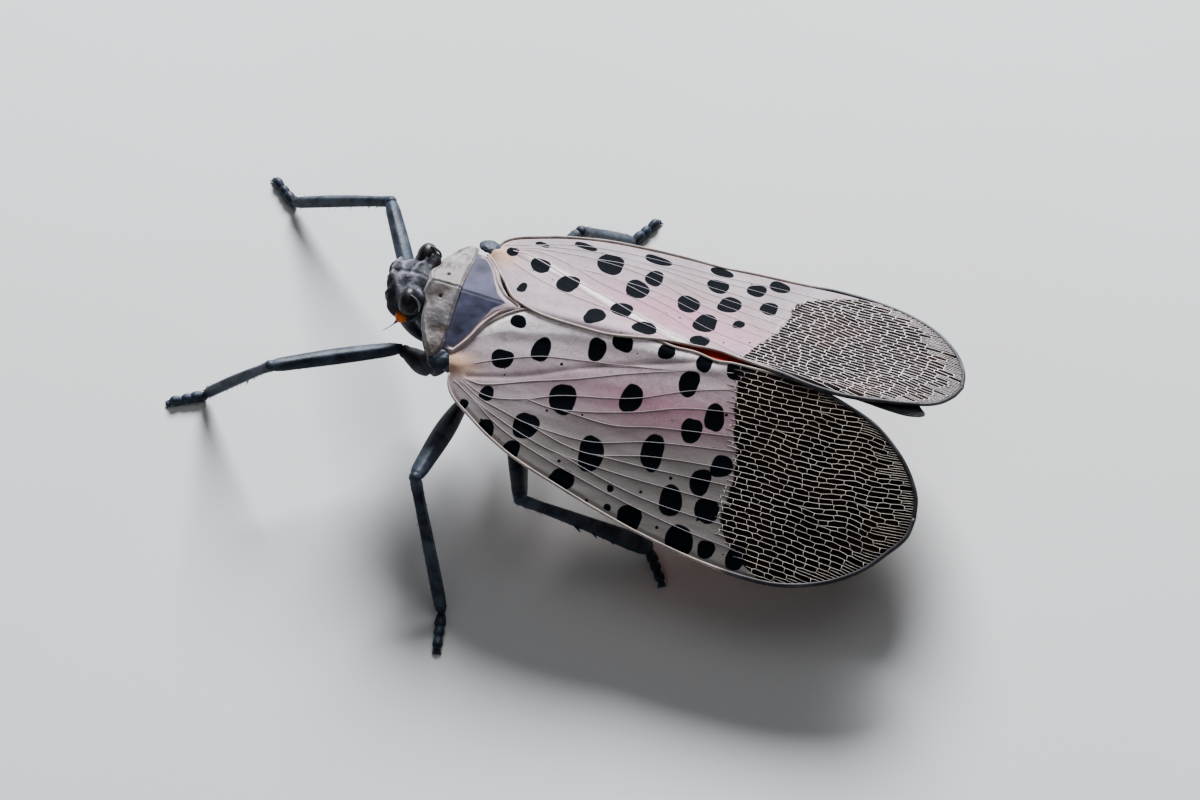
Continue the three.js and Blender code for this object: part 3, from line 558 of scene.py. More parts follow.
class Shader:
    """Small helper that builds one node material."""

    def __init__(self, name):
        self.material = bpy.data.materials.new(name)
        self.material.use_nodes = True
        self.tree = self.material.node_tree
        self.surface = self.tree.nodes["Principled BSDF"]
        self.place = self.node("ShaderNodeTexCoord").outputs["Object"]

    def node(self, kind, inputs=(), **settings):
        made = self.tree.nodes.new(kind)
        for key, value in settings.items():
            setattr(made, key, value)
        for key, value in dict(inputs).items():
            self.feed(made.inputs[key], value)
        return made

    def feed(self, socket, value):
        if isinstance(value, bpy.types.NodeSocket):
            self.tree.links.new(value, socket)
        elif isinstance(value, tuple) and len(value) == 3 and socket.type == "RGBA":
            socket.default_value = (*value, 1)
        else:
            socket.default_value = value

    def value(self, name):
        return self.node("ShaderNodeAttribute", attribute_name=name).outputs["Fac"]

    def math(self, operation, first, second):
        return self.node("ShaderNodeMath", {0: first, 1: second}, operation=operation).outputs[0]

    def times(self, first, second):
        return self.math("MULTIPLY", first, second)

    def step(self, value, low, high):
        """Smooth step from 0 at low to 1 at high."""
        made = self.node("ShaderNodeMapRange", {"Value": value, "From Min": low, "From Max": high})
        made.interpolation_type = "SMOOTHSTEP"
        return made.outputs["Result"]

    def span(self, value, low, high):
        """Value between 0 and 1, spread between low and high."""
        made = self.node("ShaderNodeMapRange", {"Value": value, "To Min": low, "To Max": high})
        return made.outputs["Result"]

    def noise(self, scale, detail=3.0, roughness=0.55):
        """Noise with about scale features in a millimetre."""
        settings = {"Vector": self.place, "Scale": scale / MM, "Detail": detail, "Roughness": roughness}
        return self.node("ShaderNodeTexNoise", settings).outputs["Fac"]

    def wobble(self, scale, detail, size):
        """Noise round zero."""
        return self.times(self.math("SUBTRACT", self.noise(scale, detail), 0.5), size)

    def cells(self, scale):
        return self.node("ShaderNodeTexVoronoi", {"Vector": self.place, "Scale": scale / MM})

    def mix(self, factor, first, second):
        made = self.node("ShaderNodeMix", data_type="RGBA")
        self.feed(made.inputs["Factor"], factor)
        self.feed(made.inputs[6], first)
        self.feed(made.inputs[7], second)
        return made.outputs[2]

    def blend(self, value, low, high, first, second):
        return self.mix(self.step(value, low, high), first, second)

    def bump(self, height, strength, depth, normal=None):
        inputs = {"Height": height, "Strength": strength, "Distance": depth * MM}
        if normal:
            inputs["Normal"] = normal
        return self.node("ShaderNodeBump", inputs).outputs["Normal"]

    def finish(self, color, roughness, normal=None, specular=None):
        self.feed(self.surface.inputs["Base Color"], color)
        self.feed(self.surface.inputs["Roughness"], roughness)
        if normal:
            self.feed(self.surface.inputs["Normal"], normal)
        if specular is not None:
            self.surface.inputs["Specular IOR Level"].default_value = specular
        return self.material


def forewing_material():
    shader = Shader("forewing_membrane")
    grain = shader.noise(3.0, 5.0)
    color = shader.blend(shader.noise(0.35), 0.35, 0.65, (0.41, 0.34, 0.365), (0.5, 0.425, 0.455))
    for zone, tint in WING_TINTS.items():
        color = shader.mix(shader.value(zone), color, tint)
    color = shader.mix(shader.times(shader.step(grain, 0.45, 0.7), 0.3), color, (0.27, 0.22, 0.21))
    fine = shader.step(shader.noise(11.0), 0.42, 0.68)
    color = shader.mix(shader.times(fine, 0.22), color, (0.2, 0.17, 0.17))
    # Painted shade darkening the groove of the claval suture
    suture_painted_shade = shader.step(shader.value("suture_painted_shade"), 0.0, 1.0)
    color = shader.mix(shader.times(suture_painted_shade, 0.5), color, (0.14, 0.09, 0.09))
    speck = shader.cells(1.9)
    size = shader.node("ShaderNodeSeparateColor", {0: speck.outputs["Color"]}).outputs[0]
    radius = shader.times(shader.math("SUBTRACT", size, 0.25), 0.19)
    shape = shader.math("SUBTRACT", speck.outputs["Distance"], radius)
    color = shader.blend(shape, 0.012, -0.012, color, (0.02, 0.018, 0.02))
    spot = shader.math("ADD", shader.value("spot"), shader.wobble(2.4, 2.0, 0.07))
    color = shader.blend(spot, 0.02, -0.02, color, (0.004, 0.0058, 0.009))
    dark = shader.blend(shader.noise(0.5), 0.35, 0.7, (0.006, 0.0045, 0.004), (0.028, 0.013, 0.01))
    net = shader.math("ADD", shader.value("net"), shader.wobble(1.6, 2.0, 0.5))
    color = shader.blend(net, -0.05, 0.05, color, dark)
    normal = shader.bump(shader.noise(14.0, 4.0), 0.3, 0.02)
    normal = shader.bump(shader.noise(2.2), 0.25, 0.05, normal)
    return shader.finish(color, shader.span(grain, 0.6, 0.75), normal, 0.04)


def vein_material(name, pale, dark):
    """Vein that fades from its own colours to grey where it crosses a black spot."""
    shader = Shader(name)
    color = shader.blend(shader.noise(1.2), 0.35, 0.68, pale, dark)
    color = shader.blend(shader.value("spot"), 0.03, -0.03, color, (0.33, 0.3, 0.32))
    normal = shader.bump(shader.noise(12.0), 0.3, 0.015)
    return shader.finish(color, 0.55, normal, 0.25)


def rim_material():
    """Edge of the forewing: beige in front, dark round the netted part."""
    shader = Shader("forewing_rim")
    cloud = shader.noise(1.2)
    front = shader.blend(cloud, 0.35, 0.68, (0.5, 0.43, 0.39), (0.34, 0.29, 0.27))
    hind = shader.blend(cloud, 0.35, 0.68, (0.035, 0.033, 0.037), (0.085, 0.082, 0.09))
    color = shader.blend(shader.value("along"), 13.6, 14.6, front, hind)
    normal = shader.bump(shader.noise(12.0), 0.3, 0.015)
    return shader.finish(color, 0.5, normal, 0.3)


def hindwing_material():
    """Hindwing: red with black spots, then a white band, black, and grey at the tip."""
    shader = Shader("hindwing_membrane")
    along = shader.value("along")
    zone = shader.math("ADD", along, shader.wobble(0.6, 3.0, 1.2))
    color = shader.blend(shader.noise(1.0), 0.35, 0.65, (0.96, 0.07, 0.035), (1.0, 0.12, 0.06))
    color = shader.blend(shader.cells(0.55).outputs["Distance"], 0.3, 0.27, color, (0.012, 0.01, 0.01))
    color = shader.blend(zone, 12.7, 12.9, color, (0.75, 0.74, 0.68))
    color = shader.blend(zone, 13.9, 14.1, color, (0.014, 0.014, 0.016))
    color = shader.blend(along, 18.0, 20.5, color, (0.085, 0.09, 0.095))
    return shader.finish(color, 0.5, shader.bump(shader.noise(5.0), 0.3, 0.05))


def body_material():
    shader = Shader("body_skin")
    cloud = shader.noise(0.9, 4.0)
    color = shader.blend(cloud, 0.4, 0.65, (0.007, 0.009, 0.012), (0.028, 0.034, 0.045))
    # Pale bloom: partly real wax, partly painted highlight on the crests of the head's top
    bloom = shader.times(shader.value("bloom"), shader.step(shader.noise(2.6, 5.0), 0.35, 0.6))
    color = shader.mix(bloom, color, (0.25, 0.235, 0.28))
    yellow = shader.blend(shader.noise(1.4), 0.35, 0.7, (0.62, 0.42, 0.06), (0.45, 0.27, 0.04))
    color = shader.mix(shader.value("yellow"), color, yellow)
    normal = shader.bump(shader.noise(7.0, 5.0), 0.6, 0.05)
    return shader.finish(color, shader.span(cloud, 0.5, 0.75), normal, 0.35)


def pronotum_material():
    shader = Shader("pronotum_shell")
    color = shader.blend(shader.noise(0.8, 4.0), 0.38, 0.64, (0.19, 0.17, 0.165), (0.31, 0.29, 0.29))
    color = shader.mix(shader.times(shader.value("edge"), 0.45), color, (0.42, 0.4, 0.4))
    blotch = shader.step(shader.noise(0.6, 3.0, 0.6), 0.47, 0.62)
    color = shader.mix(shader.times(blotch, 0.7), color, (0.13, 0.1, 0.085))
    color = shader.mix(shader.value("pit"), color, (0.012, 0.011, 0.012))
    normal = shader.bump(shader.noise(9.0, 5.0), 0.4, 0.04)
    return shader.finish(color, 0.48, normal, 0.35)


def mesonotum_material():
    shader = Shader("mesonotum_shell")
    color = shader.blend(shader.noise(0.7, 4.0), 0.36, 0.66, (0.06, 0.06, 0.1), (0.1, 0.102, 0.165))
    collar = shader.blend(shader.noise(1.6), 0.35, 0.65, (0.52, 0.42, 0.4), (0.38, 0.32, 0.34))
    color = shader.mix(shader.value("edge"), color, collar)
    color = shader.mix(shader.value("pit"), color, (0.014, 0.013, 0.018))
    normal = shader.bump(shader.noise(9.0, 5.0), 0.25, 0.03)
    return shader.finish(color, 0.6, normal, 0.18)


def eye_material():
    shader = Shader("eye_gloss")
    color = shader.blend(shader.noise(0.9), 0.4, 0.62, (0.008, 0.008, 0.01), (0.028, 0.026, 0.03))
    facets = shader.bump(shader.cells(26.0).outputs["Distance"], 0.12, 0.01)
    return shader.finish(color, 0.44, facets, 0.42)


def bulb_material():
    shader = Shader("antenna_orange")
    color = shader.blend(shader.noise(3.5), 0.35, 0.7, (0.78, 0.2, 0.02), (0.6, 0.11, 0.012))
    return shader.finish(color, 0.4, shader.bump(shader.cells(11.0).outputs["Distance"], 0.5, 0.04))


def leg_material():
    shader = Shader("leg_shell")
    cloud = shader.noise(1.4, 4.0)
    color = shader.blend(cloud, 0.36, 0.66, (0.012, 0.019, 0.032), (0.036, 0.054, 0.083))
    # Pale bloom on the legs: partly real wax, partly a painted highlight along their upper side
    bloom = shader.times(shader.value("bloom"), shader.step(shader.noise(1.1, 5.0), 0.38, 0.62))
    color = shader.mix(shader.times(bloom, 0.65), color, (0.1, 0.122, 0.15))
    normal = shader.bump(shader.noise(9.0, 4.0), 0.5, 0.04)
    return shader.finish(color, shader.span(cloud, 0.42, 0.65), normal, 0.4)


def roof(x, width, side, lift):
    """Point of the wing roof, lifted square to it, from a place on the unrolled roof."""
    start = np.radians(np.interp(x, *np.array(ROOF_SLOPE, float).T))
    smooth = np.sqrt(width**2 + ROOF_CREST**2) - ROOF_CREST
    end = start + ROOF_BEND * smooth
    lean = np.sin(end) * width / (smooth + ROOF_CREST)
    y = width * np.cos(start) + lift * lean
    z = profile(RIDGE_HEIGHT, x) - (np.cos(start) - np.cos(end)) / ROOF_BEND + lift * np.cos(end)
    return np.stack([x, side * y, z], -1)


def wing_point(name, x, width, lift):
    """Point of a forewing from its place on the flat wing; the right wing laps over the left."""
    turn = math.radians(WING_TURN[name])
    along = x - WING_HINGE[0]
    out = width - WING_HINGE[1]
    x = WING_HINGE[0] + along * math.cos(turn) - out * math.sin(turn)
    width = WING_HINGE[1] + along * math.sin(turn) + out * math.cos(turn)
    if name == "right":
        lift = lift + WING_LAP * smoothstep(0.7, -0.1, width)
    return roof(x, width, SIDES[name], lift)


def wing_edges(name, count):
    """Lines of the wing's inner and front edges, both ending at its tip."""
    shares = shares_of(count)
    return [curve(edge[name] + [WING_TIP[name]], shares) for edge in (INNER_EDGE, COSTAL_EDGE)]


def vein_lines():
    return [curve(line, shares_of(60)) for line in MAIN_VEINS]


def spot_distance(name, places):
    """Distance outside the black spots, less than zero inside them."""
    best = np.full(len(places), 9.0)
    for index, (x, width, length, breadth) in enumerate(SPOTS[name]):
        radii = np.array([length, breadth]) / 2
        offset = (places - np.array([x, width])) / radii
        angle = np.arctan2(offset[:, 1], offset[:, 0])
        wobble = 1 + 0.06 * np.sin(2 * angle + index * 1.7) + 0.05 * np.sin(3 * angle + index * 2.9)
        reach = (np.abs(offset) ** SPOT_SQUARENESS).sum(1) ** (1 / SPOT_SQUARENESS)
        best = np.minimum(best, (reach - wobble) * radii.min())
    return best


def waviness(x, width):
    """Gentle waves of the membrane, which die out towards the netted part."""
    waves = roughness_of(flat(x * 0.5, width * 1.4), 0.7).reshape(np.shape(x))
    return WAVE_HEIGHT * waves * smoothstep(15, 12.5, x)


def between(inner, outer, across):
    """Places on the flat wing between two edges."""
    return (inner[:, None] + (outer - inner)[:, None] * across[None, :, None]).reshape(-1, 2)


def crest_of_left_wing(x, width):
    """Pale zone and height of the flat strip beside the ridge; the pale zone is partly the strip's lighter
    colour and partly a painted highlight where the roof's flatter top faces the light.
    """
    fold = width - profile(CREST_FOLD, x)
    fade = smoothstep(13, 11, x)
    # Partly real pale colour, partly painted highlight: the strip inside the fold, and a weaker band up to
    # 2.8 mm from the ridge where the flatter roof top catches the light
    pale = np.maximum(smoothstep(0.14, -0.04, fold), 0.4 * smoothstep(2.8, 1.6, width)) * fade
    rise = smoothstep(0.55, -0.1, fold) * fade * smoothstep(1.2, 2.6, x)
    return pale, CREST_RISE * (1 - np.exp(-np.maximum(width, 0) / CREST_REACH)) * rise


def make_forewing(name, material):
    even = shares_of(WING_COLUMNS)
    across = 0.75 * even + 0.25 * (1 - np.cos(even * math.pi)) / 2
    places = between(*wing_edges(name, WING_ROWS), across)
    x, width = places.T
    edge = np.minimum(*[distance_to_line(places, line) for line in wing_edges(name, 100)])
    suture = distance_to_line(places, curve(CLAVAL_SUTURE, shares_of(24)))
    lift = waviness(x, width) + mounds(x, width, HINGE_MOUND) - SUTURE_DEPTH * bell(suture, SUTURE_REACH)
    for line in vein_lines():
        lift += VEIN_SWELL * bell(distance_to_line(places, line[::3]), VEIN_SWELL_REACH)
    if name == "left":
        pale, crest = crest_of_left_wing(x, width)
        lift += crest
    else:
        beside = width - profile(CLAVAL_SUTURE, x)
        pale = bell(beside - 0.3, 0.22) * smoothstep(12, 10.5, x) * smoothstep(1.5, 3, x)
    lift = lift * smoothstep(-0.05, 0.4, edge) - EDGE_DROP * smoothstep(0.25, 0, edge)
    if name == "left":
        lift -= LEFT_SEAM_DROP * smoothstep(0.15, -0.15, width)
    values = {
        "spot": spot_distance(name, places),
        "net": x - profile(NET_START, width),
        # Painted shade along the suture's groove
        "suture_painted_shade": bell(suture, SUTURE_LINE_REACH),
        "pink": mounds(x, width, PINK_ZONE),
        # Grey of the front part; on the left wing mostly painted shade
        "costal": COSTAL_GREY_AND_SHADE[name] * smoothstep(2.2, 5.6, width + 0.1 * (x - 8)),
        # Pale band, and on the left wing painted highlight on the crest strip
        "pale_band_and_crest_highlight": pale,
        "root": mounds(x, width, ROOT_ZONE),
    }
    thickness = MEMBRANE_THICKNESS * (0.3 + 0.7 * smoothstep(0, 0.4, edge))
    upper = wing_point(name, x, width, lift)
    lower = wing_point(name, x, width, lift - thickness)
    make_sheet(f"forewing_{name}", "skin", upper, lower, WING_COLUMNS, material, values)


def make_ridges(name, ending, lines, half_width, height, base, material):
    """Raised veins along lines on the flat wing, joined into one piece."""
    solid = Solid()
    for line, taper in lines:
        heading = np.gradient(line, axis=0)
        heading /= np.maximum(np.linalg.norm(heading, axis=1), 1e-9)[:, None]
        aside = np.stack([-heading[:, 1], heading[:, 0]], -1)
        size = half_width * taper
        places = line[:, None] + aside[:, None] * RIDGE_SECTION[None, :, 0, None] * size[:, None, None]
        lift = RIDGE_SECTION[None, :, 1] * height * np.minimum(taper, 1)[:, None] + base
        lift += waviness(line[:, 0], line[:, 1])[:, None]
        points = wing_point(name, places[..., 0], places[..., 1], lift)
        spot = np.repeat(spot_distance(name, line), len(RIDGE_SECTION))
        faces = ring_faces(len(line), len(RIDGE_SECTION))
        solid.add(points, faces, spot=spot, along=places[..., 0].ravel())
    solid.piece(f"forewing_{name}_{ending}", material, "forewing")


def make_main_veins(name, vein, rim):
    """Main veins, cut off where they leave the wing, and the rim round it."""
    inner = wing_edges(name, 100)[0]
    lines = []
    for course, line in zip(MAIN_VEINS, vein_lines()):
        line = line[line[:, 1] > np.interp(line[:, 0], *inner.T) + 0.05]
        taper = np.interp(shares_of(len(line)), [0, 0.1, 1], [1.5, 1.2, 0.8])
        lines.append((line, taper * (CUBITAL_STRENGTH if course is CUBITAL_VEIN else 1)))
    make_ridges(name, "veins", lines, VEIN_HALF_WIDTH, VEIN_HEIGHT, 0.015, vein)
    edges = [(edge, 1 + 0.7 * smoothstep(13, 15, edge[:, 0])) for edge in wing_edges(name, 140)]
    make_ridges(name, "rim", edges, RIM_HALF_WIDTH, RIM_HEIGHT, 0, rim)


class Net:
    """Lines and cross veins of the netted part of one forewing, on the flat wing."""

    def __init__(self, name):
        self.random = random.Random(NET_SEED[name])
        self.tip_x = WING_TIP[name][0]
        self.inner, self.costal = wing_edges(name, 160)
        self.grid = np.linspace(NET_ORIGIN_X - 2, NET_END_X, 430)
        self.births = [0.0] * NET_LINES
        for _ in range(NET_BRANCHES):
            place = self.random.randrange(3, len(self.births) - 2)
            self.births.insert(place, self.random.uniform(*NET_BRANCH_X))
        self.gaps = [self.gap(birth) for birth in self.births]
        count = np.cumsum(self.gaps, axis=0)
        share = (count - 1) / (count[-1] - 1)
        reach = np.maximum(self.grid - NET_ORIGIN_X, 0)
        self.rows = NET_FIRST + NET_SPAN * share + profile(NET_CURL, share) * reach**2
        self.kinks = {}

    def gap(self, birth):
        """Width of the gap before a line, which opens where the line is born."""
        if not birth:
            return np.ones(len(self.grid))
        return smoothstep(birth, birth + NET_BRANCH_LENGTH, self.grid)

    def inside(self, x, width):
        return x < self.tip_x and np.interp(x, *self.inner.T) < width < np.interp(x, *self.costal.T)

    def base(self, k, x):
        """Straight course of line k; a line at a half lies midway between its neighbours."""
        low = np.interp(x, self.grid, self.rows[int(k)])
        if k == int(k):
            return low
        return (low + np.interp(x, self.grid, self.rows[int(k) + 1])) / 2

    def place(self, k, x):
        """Point of line k, with its kinks at the cross veins."""
        shift = sum(size * bell(x - at, NET_KINK_REACH) for at, size in self.kinks.get(k, ()))
        return x, self.base(k, x) + shift + NET_SWAY * math.sin(x * 2.9 + k * 5.1)

    def start(self, k):
        x = NET_ORIGIN_X
        for _ in range(4):
            x = float(profile(NET_START, [self.base(k, x)])[0])
        return max(x + self.random.uniform(-0.45, 0.05), self.births[k])

    def reach(self, k, start):
        """First and last x of a line that begins at start, or none where it misses the wing."""
        x = start
        while x < self.tip_x and not self.inside(x, self.base(k, x)):
            x += 0.1
        first = x
        while self.inside(x, self.base(k, x)):
            x += 0.04
        return (first, x - 0.04) if x - first > 0.4 else None

    def crosses(self, spans):
        """Cross veins as (line, x on it, x on the next line), and half lines near the wing's edge."""
        made = []
        for k in range(len(self.births) - 1):
            if k + 1 not in spans:
                continue
            first, end = spans[k + 1]
            x = first + self.random.uniform(0.1, 0.5)
            half_start = None
            last = end - self.random.uniform(*HALF_LINE_LENGTH)
            while x < end and not half_start and self.inside(x, self.base(k, x)):
                if np.interp(x, self.grid, self.gaps[k + 1]) > 0.7:
                    made.append((k, x, x + self.random.uniform(-0.06, 0.1)))
                if x > last and x > NET_ORIGIN_X + 1:
                    half_start = x
                x += self.random.uniform(*CELL_LENGTH)
            span = self.reach(k + 0.5, half_start) if half_start else None
            if span and abs(span[0] - half_start) < 0.11:
                spans[k + 0.5] = (half_start, span[1])
        return made

    def lines(self):
        """All lines and cross veins, each with its taper."""
        spans = {k: self.reach(k, self.start(k)) for k in range(len(self.births))}
        spans = {k: span for k, span in spans.items() if span}
        crosses = self.crosses(spans)
        for k, first, second in crosses:
            self.kinks.setdefault(k, []).append((first, NET_KINK))
            self.kinks.setdefault(k + 1, []).append((second, -NET_KINK))
        made = []
        for k, (start, end) in spans.items():
            marks = {x for x, _ in self.kinks.get(k, ()) if start < x < end}
            steps = np.linspace(start, end, max(int((end - start) / 0.1), 6))
            line = np.array([self.place(k, x) for x in sorted(marks | set(steps.tolist()))])
            taper = np.interp(line[:, 0], [start, start + 0.4, end - 0.8, end], [0.5, 1, 0.95, 0.6])
            made.append((line, taper))
        for k, first, second in crosses:
            a, b = np.array(self.place(k, first)), np.array(self.place(k + 1, second))
            made.append((np.array([a, (a + b) / 2, b]), np.full(3, CROSS_TAPER)))
        return made


def make_hindwing(name, material):
    across = shares_of(HINDWING_COLUMNS)
    shares = shares_of(HINDWING_ROWS)
    x, width = between(curve(HINDWING_INNER[name], shares), curve(HINDWING_OUTER[name], shares), across).T
    pleat = PLEAT_HEIGHT * np.sin(np.tile(across, HINDWING_ROWS) * 2 * math.pi * PLEATS)
    upper = roof(x, width, SIDES[name], pleat - HINDWING_DEPTH)
    lower = roof(x, width, SIDES[name], pleat - HINDWING_DEPTH - HINDWING_THICKNESS)
    values = {"along": x}
    make_sheet(f"hindwing_{name}", "skin", upper, lower, HINDWING_COLUMNS, material, values)


def segment_starts():
    return ABDOMEN_START_X + np.concatenate([[0], np.cumsum(ABDOMEN_SEGMENT_LENGTHS)])


def abdomen_rings(sides):
    """Rings of the abdomen, each segment stepping down under the one before it."""
    share = np.linspace(0, 0.98, 12)
    x = (segment_starts()[:-1, None] + share * np.array(ABDOMEN_SEGMENT_LENGTHS)[:, None]).ravel()
    step = 0.12 * (1 - smoothstep(0, 0.3, share)) + 0.03 * smoothstep(0.85, 1, share)
    shrink = np.tile(step, len(ABDOMEN_SEGMENT_LENGTHS))
    half = profile(ABDOMEN_HALF_WIDTH, x) - shrink
    top = profile(ABDOMEN_TOP, x) - shrink
    bottom = profile(ABDOMEN_BOTTOM, x) + shrink
    return oval_rings(x, half, top, bottom, sides, (0.95, 1))


def turned_head(points):
    """Points of the head, turned a little to the insect's left."""
    along = points[..., 0] - HEAD_PIVOT_X
    x = HEAD_PIVOT_X + along * math.cos(HEAD_TURN) - points[..., 1] * math.sin(HEAD_TURN)
    y = along * math.sin(HEAD_TURN) + points[..., 1] * math.cos(HEAD_TURN) + HEAD_SHIFT
    return np.stack([x, y, points[..., 2]], -1)


def face_relief(points, normals):
    """Ridges and the groove of the face, in front of the turned head."""
    x, y, z = points.T
    middle = (y - HEAD_SHIFT) * math.cos(HEAD_TURN) - (x - HEAD_PIVOT_X) * math.sin(HEAD_TURN)
    front = smoothstep(-0.15, -0.6, normals[:, 0]) * smoothstep(-2.1, -2.4, x)
    height = smoothstep(5.9, 6.3, z) * smoothstep(8.1, 7.8, z)
    sides = 0.09 * bell(np.abs(middle) - profile(FACE_RIDGE, z), 0.09)
    keel = 0.05 * bell(middle, 0.08) * smoothstep(6.7, 7.0, z)
    groove = 0.08 * bell(z - FACE_GROOVE_Z + 0.25 * np.abs(middle), 0.08)
    return front * height * (sides + keel - groove)


def thorax_relief(points):
    """Seams between the plates of the thorax."""
    x, _, z = points.T
    side = smoothstep(-1.0, -0.7, x) * smoothstep(4.0, 3.6, x) * smoothstep(6.9, 6.6, z)
    seams = [bell(x - seam - lean * (z - THORAX_MIDDLE_Z), 0.1) for seam, lean in THORAX_SEAMS]
    return -THORAX_SEAM_DEPTH * side * np.max(seams, axis=0)


def leg_joints(name):
    """Root of the coxa, hip, knee, ankle and claw tip of one leg."""
    side, kind = name.split("_")
    return np.concatenate([np.array(LEG_ROOTS[kind]) * (1, SIDES[side], 1), np.array(LEGS[name])])


def body_solid():
    """Overlapping shapes of head, neck, thorax, abdomen, coxae and the eyes' and antennae's roots."""
    solid = Solid()
    for rings in (
        turned_head(trunk_rings(HEAD_STATIONS, 48, 0.78, 30)),
        trunk_rings(NECK_STATIONS, 40, 1.0, 10),
        trunk_rings(THORAX_STATIONS, 48, 0.92, 30),
        abdomen_rings(48),
    ):
        solid.add(rings, ring_faces(*rings.shape[:2]))
    share = shares_of(24)
    for name in LEGS:
        root, hip = leg_joints(name)[:2]
        reach = hip - root
        inwards = [root + (0.1, 0, 1.3), root + (0.05, 0, 0.55)]
        path = curve([*inwards, root + reach * 0.3, root + reach * 0.7, hip], share)
        solid.add(*tube(path, profile(COXA_SHAPE, share), 24))
    for name, side in SIDES.items():
        eye = np.array(EYE_CENTRE[name]) + (0.1, -side * 0.2, -0.14)
        solid.add(*dome(eye, EYE_SOCKET_RADII, 24, 32)[:2])
        bulb = np.array(BULB_CENTRE[name]) + (0.2, -side * 0.4, -0.05)
        solid.add(*dome(bulb, BULB_SOCKET_RADII, 16, 24)[:2])
    return solid


def fused_skin(solid):
    """Points, normals and faces of one skin over several overlapping closed shapes."""
    holder = add_mesh("fusing", np.concatenate(solid.points).tolist(), solid.faces)
    remesh = holder.modifiers.new("fuse", "REMESH")
    remesh.mode = "VOXEL"
    remesh.voxel_size = SKIN_VOXEL
    holder.modifiers.new("soften", "SMOOTH").iterations = 4
    bpy.context.view_layer.update()
    result = holder.evaluated_get(bpy.context.evaluated_depsgraph_get()).to_mesh()
    points = np.array([vertex.co for vertex in result.vertices])
    normals = np.array([vertex.normal for vertex in result.vertices])
    faces = [tuple(face.vertices) for face in result.polygons]
    bpy.data.meshes.remove(holder.data)
    return points, normals, faces


def abdomen_yellow(x, y, z):
    """Yellow flanks and the pale hind edges of the segments."""
    starts = segment_starts()
    index = np.clip(np.searchsorted(starts, x, side="right") - 1, 0, len(ABDOMEN_SEGMENT_LENGTHS) - 1)
    phase = (x - starts[index]) / np.array(ABDOMEN_SEGMENT_LENGTHS)[index]
    phase[x >= starts[-1]] = 0
    flank = smoothstep(0.55, 0.9, np.abs(y) / np.maximum(profile(ABDOMEN_HALF_WIDTH, x), 0.4))
    belly = smoothstep(4.3, 3.6, z)
    band = np.maximum(smoothstep(0.72, 0.82, phase), flank * (1 - belly) * 0.9)
    return np.where(x > ABDOMEN_START_X + 0.4, band, 0.0)


def make_body(material):
    """Head, neck, thorax, abdomen and the roots of the legs under one skin."""
    points, normals, faces = fused_skin(body_solid())
    x, y, z = points.T
    on_head = smoothstep(-1.2, -1.5, x)
    crown = on_head * smoothstep(7.5, 8.0, z)
    stretched = points * WRINKLE_STRETCH
    wrinkle = np.array([noise.ridged_multi_fractal(Vector(p), 0.9, 2.0, 2, 0.9, 2.0) for p in stretched])
    relief = crown * WRINKLE_HEIGHT * (wrinkle - 1.1) + 0.015 * roughness_of(points, 2.5)
    rim = bell(x - CROWN_RIM_X - 0.16 * (y - 0.4), 0.09) * smoothstep(7.4, 7.8, z)
    relief += CROWN_RIM_HEIGHT * rim * on_head
    relief -= CROWN_GROOVE_DEPTH * crown * bell(y - 0.1, 0.09)
    relief += face_relief(points, normals) + thorax_relief(points)
    # Pale bloom: on the wrinkle crests of the head's top partly a painted highlight; over neck and thorax an
    # even light bloom
    bloom = np.maximum(crown * smoothstep(0.35, 1.1, wrinkle), 0.2 * (1 - on_head) * (x < 4))
    replaced = ["head", "thorax", "abdomen", *[f"{leg}_coxa" for leg in LEGS]]
    values = {"bloom": bloom, "yellow": abdomen_yellow(x, y, z)}
    points = points + normals * relief[:, None]
    make_piece("body_skin", points, faces, material, replaced, values)


def make_eye(name, side, eye, rim):
    points, faces, _ = dome(EYE_CENTRE[name], EYE_RADII, 60, 96)
    make_piece(f"eye_{name}_globe", points, faces, eye, [f"eye_{name}"])
    share = shares_of(40)
    angle = (-0.35 + 0.8 * share) * math.pi
    bow = [0.52 * np.cos(angle) + 0.03, side * (0.1 + 0.1 * np.cos(angle)), 0.62 * np.sin(angle)]
    radii = 0.04 * np.sin(math.pi * (0.06 + 0.88 * share)) + 0.015
    points, faces = tube(np.array(EYE_CENTRE[name]) + np.stack(bow, -1), radii, 12)
    make_piece(f"eye_{name}_rim", points, faces, rim, (), {"spot": 1.0})


def make_antenna(name, side, bulb, dark):
    centre = np.array(BULB_CENTRE[name])
    points, faces, way = dome(centre, (BULB_RADIUS,) * 3, 44, 60)
    bumps = np.array([noise.noise(Vector(w) * 7) for w in way])
    points = points + way * 0.02 * bumps[:, None]
    make_piece(f"antenna_{name}_bulb", points, faces, bulb, [f"antenna_{name}"])
    share = shares_of(20)
    path = centre + np.array(BRISTLE_REACH) * (1, side, 1) * share[:, None]
    path[:, 2] -= 0.12 * np.sin(share * math.pi)
    points, faces = tube(path, np.interp(share, [0, 0.25, 0.4, 1], [0.1, 0.07, 0.022, 0.01]), 12)
    make_piece(f"antenna_{name}_bristle", points, faces, dark)


def make_beak(material):
    share = shares_of(70)
    radii = profile(list(zip(shares_of(len(BEAK_RADII)), BEAK_RADII)), share)
    radii *= 1 - 0.18 * bell(share - 0.46, 0.02)
    points, faces = tube(curve(BEAK_PATH, share), radii, 24)
    make_piece("beak_sheath", points, faces, material, ["beak"], {"bloom": 0.3})


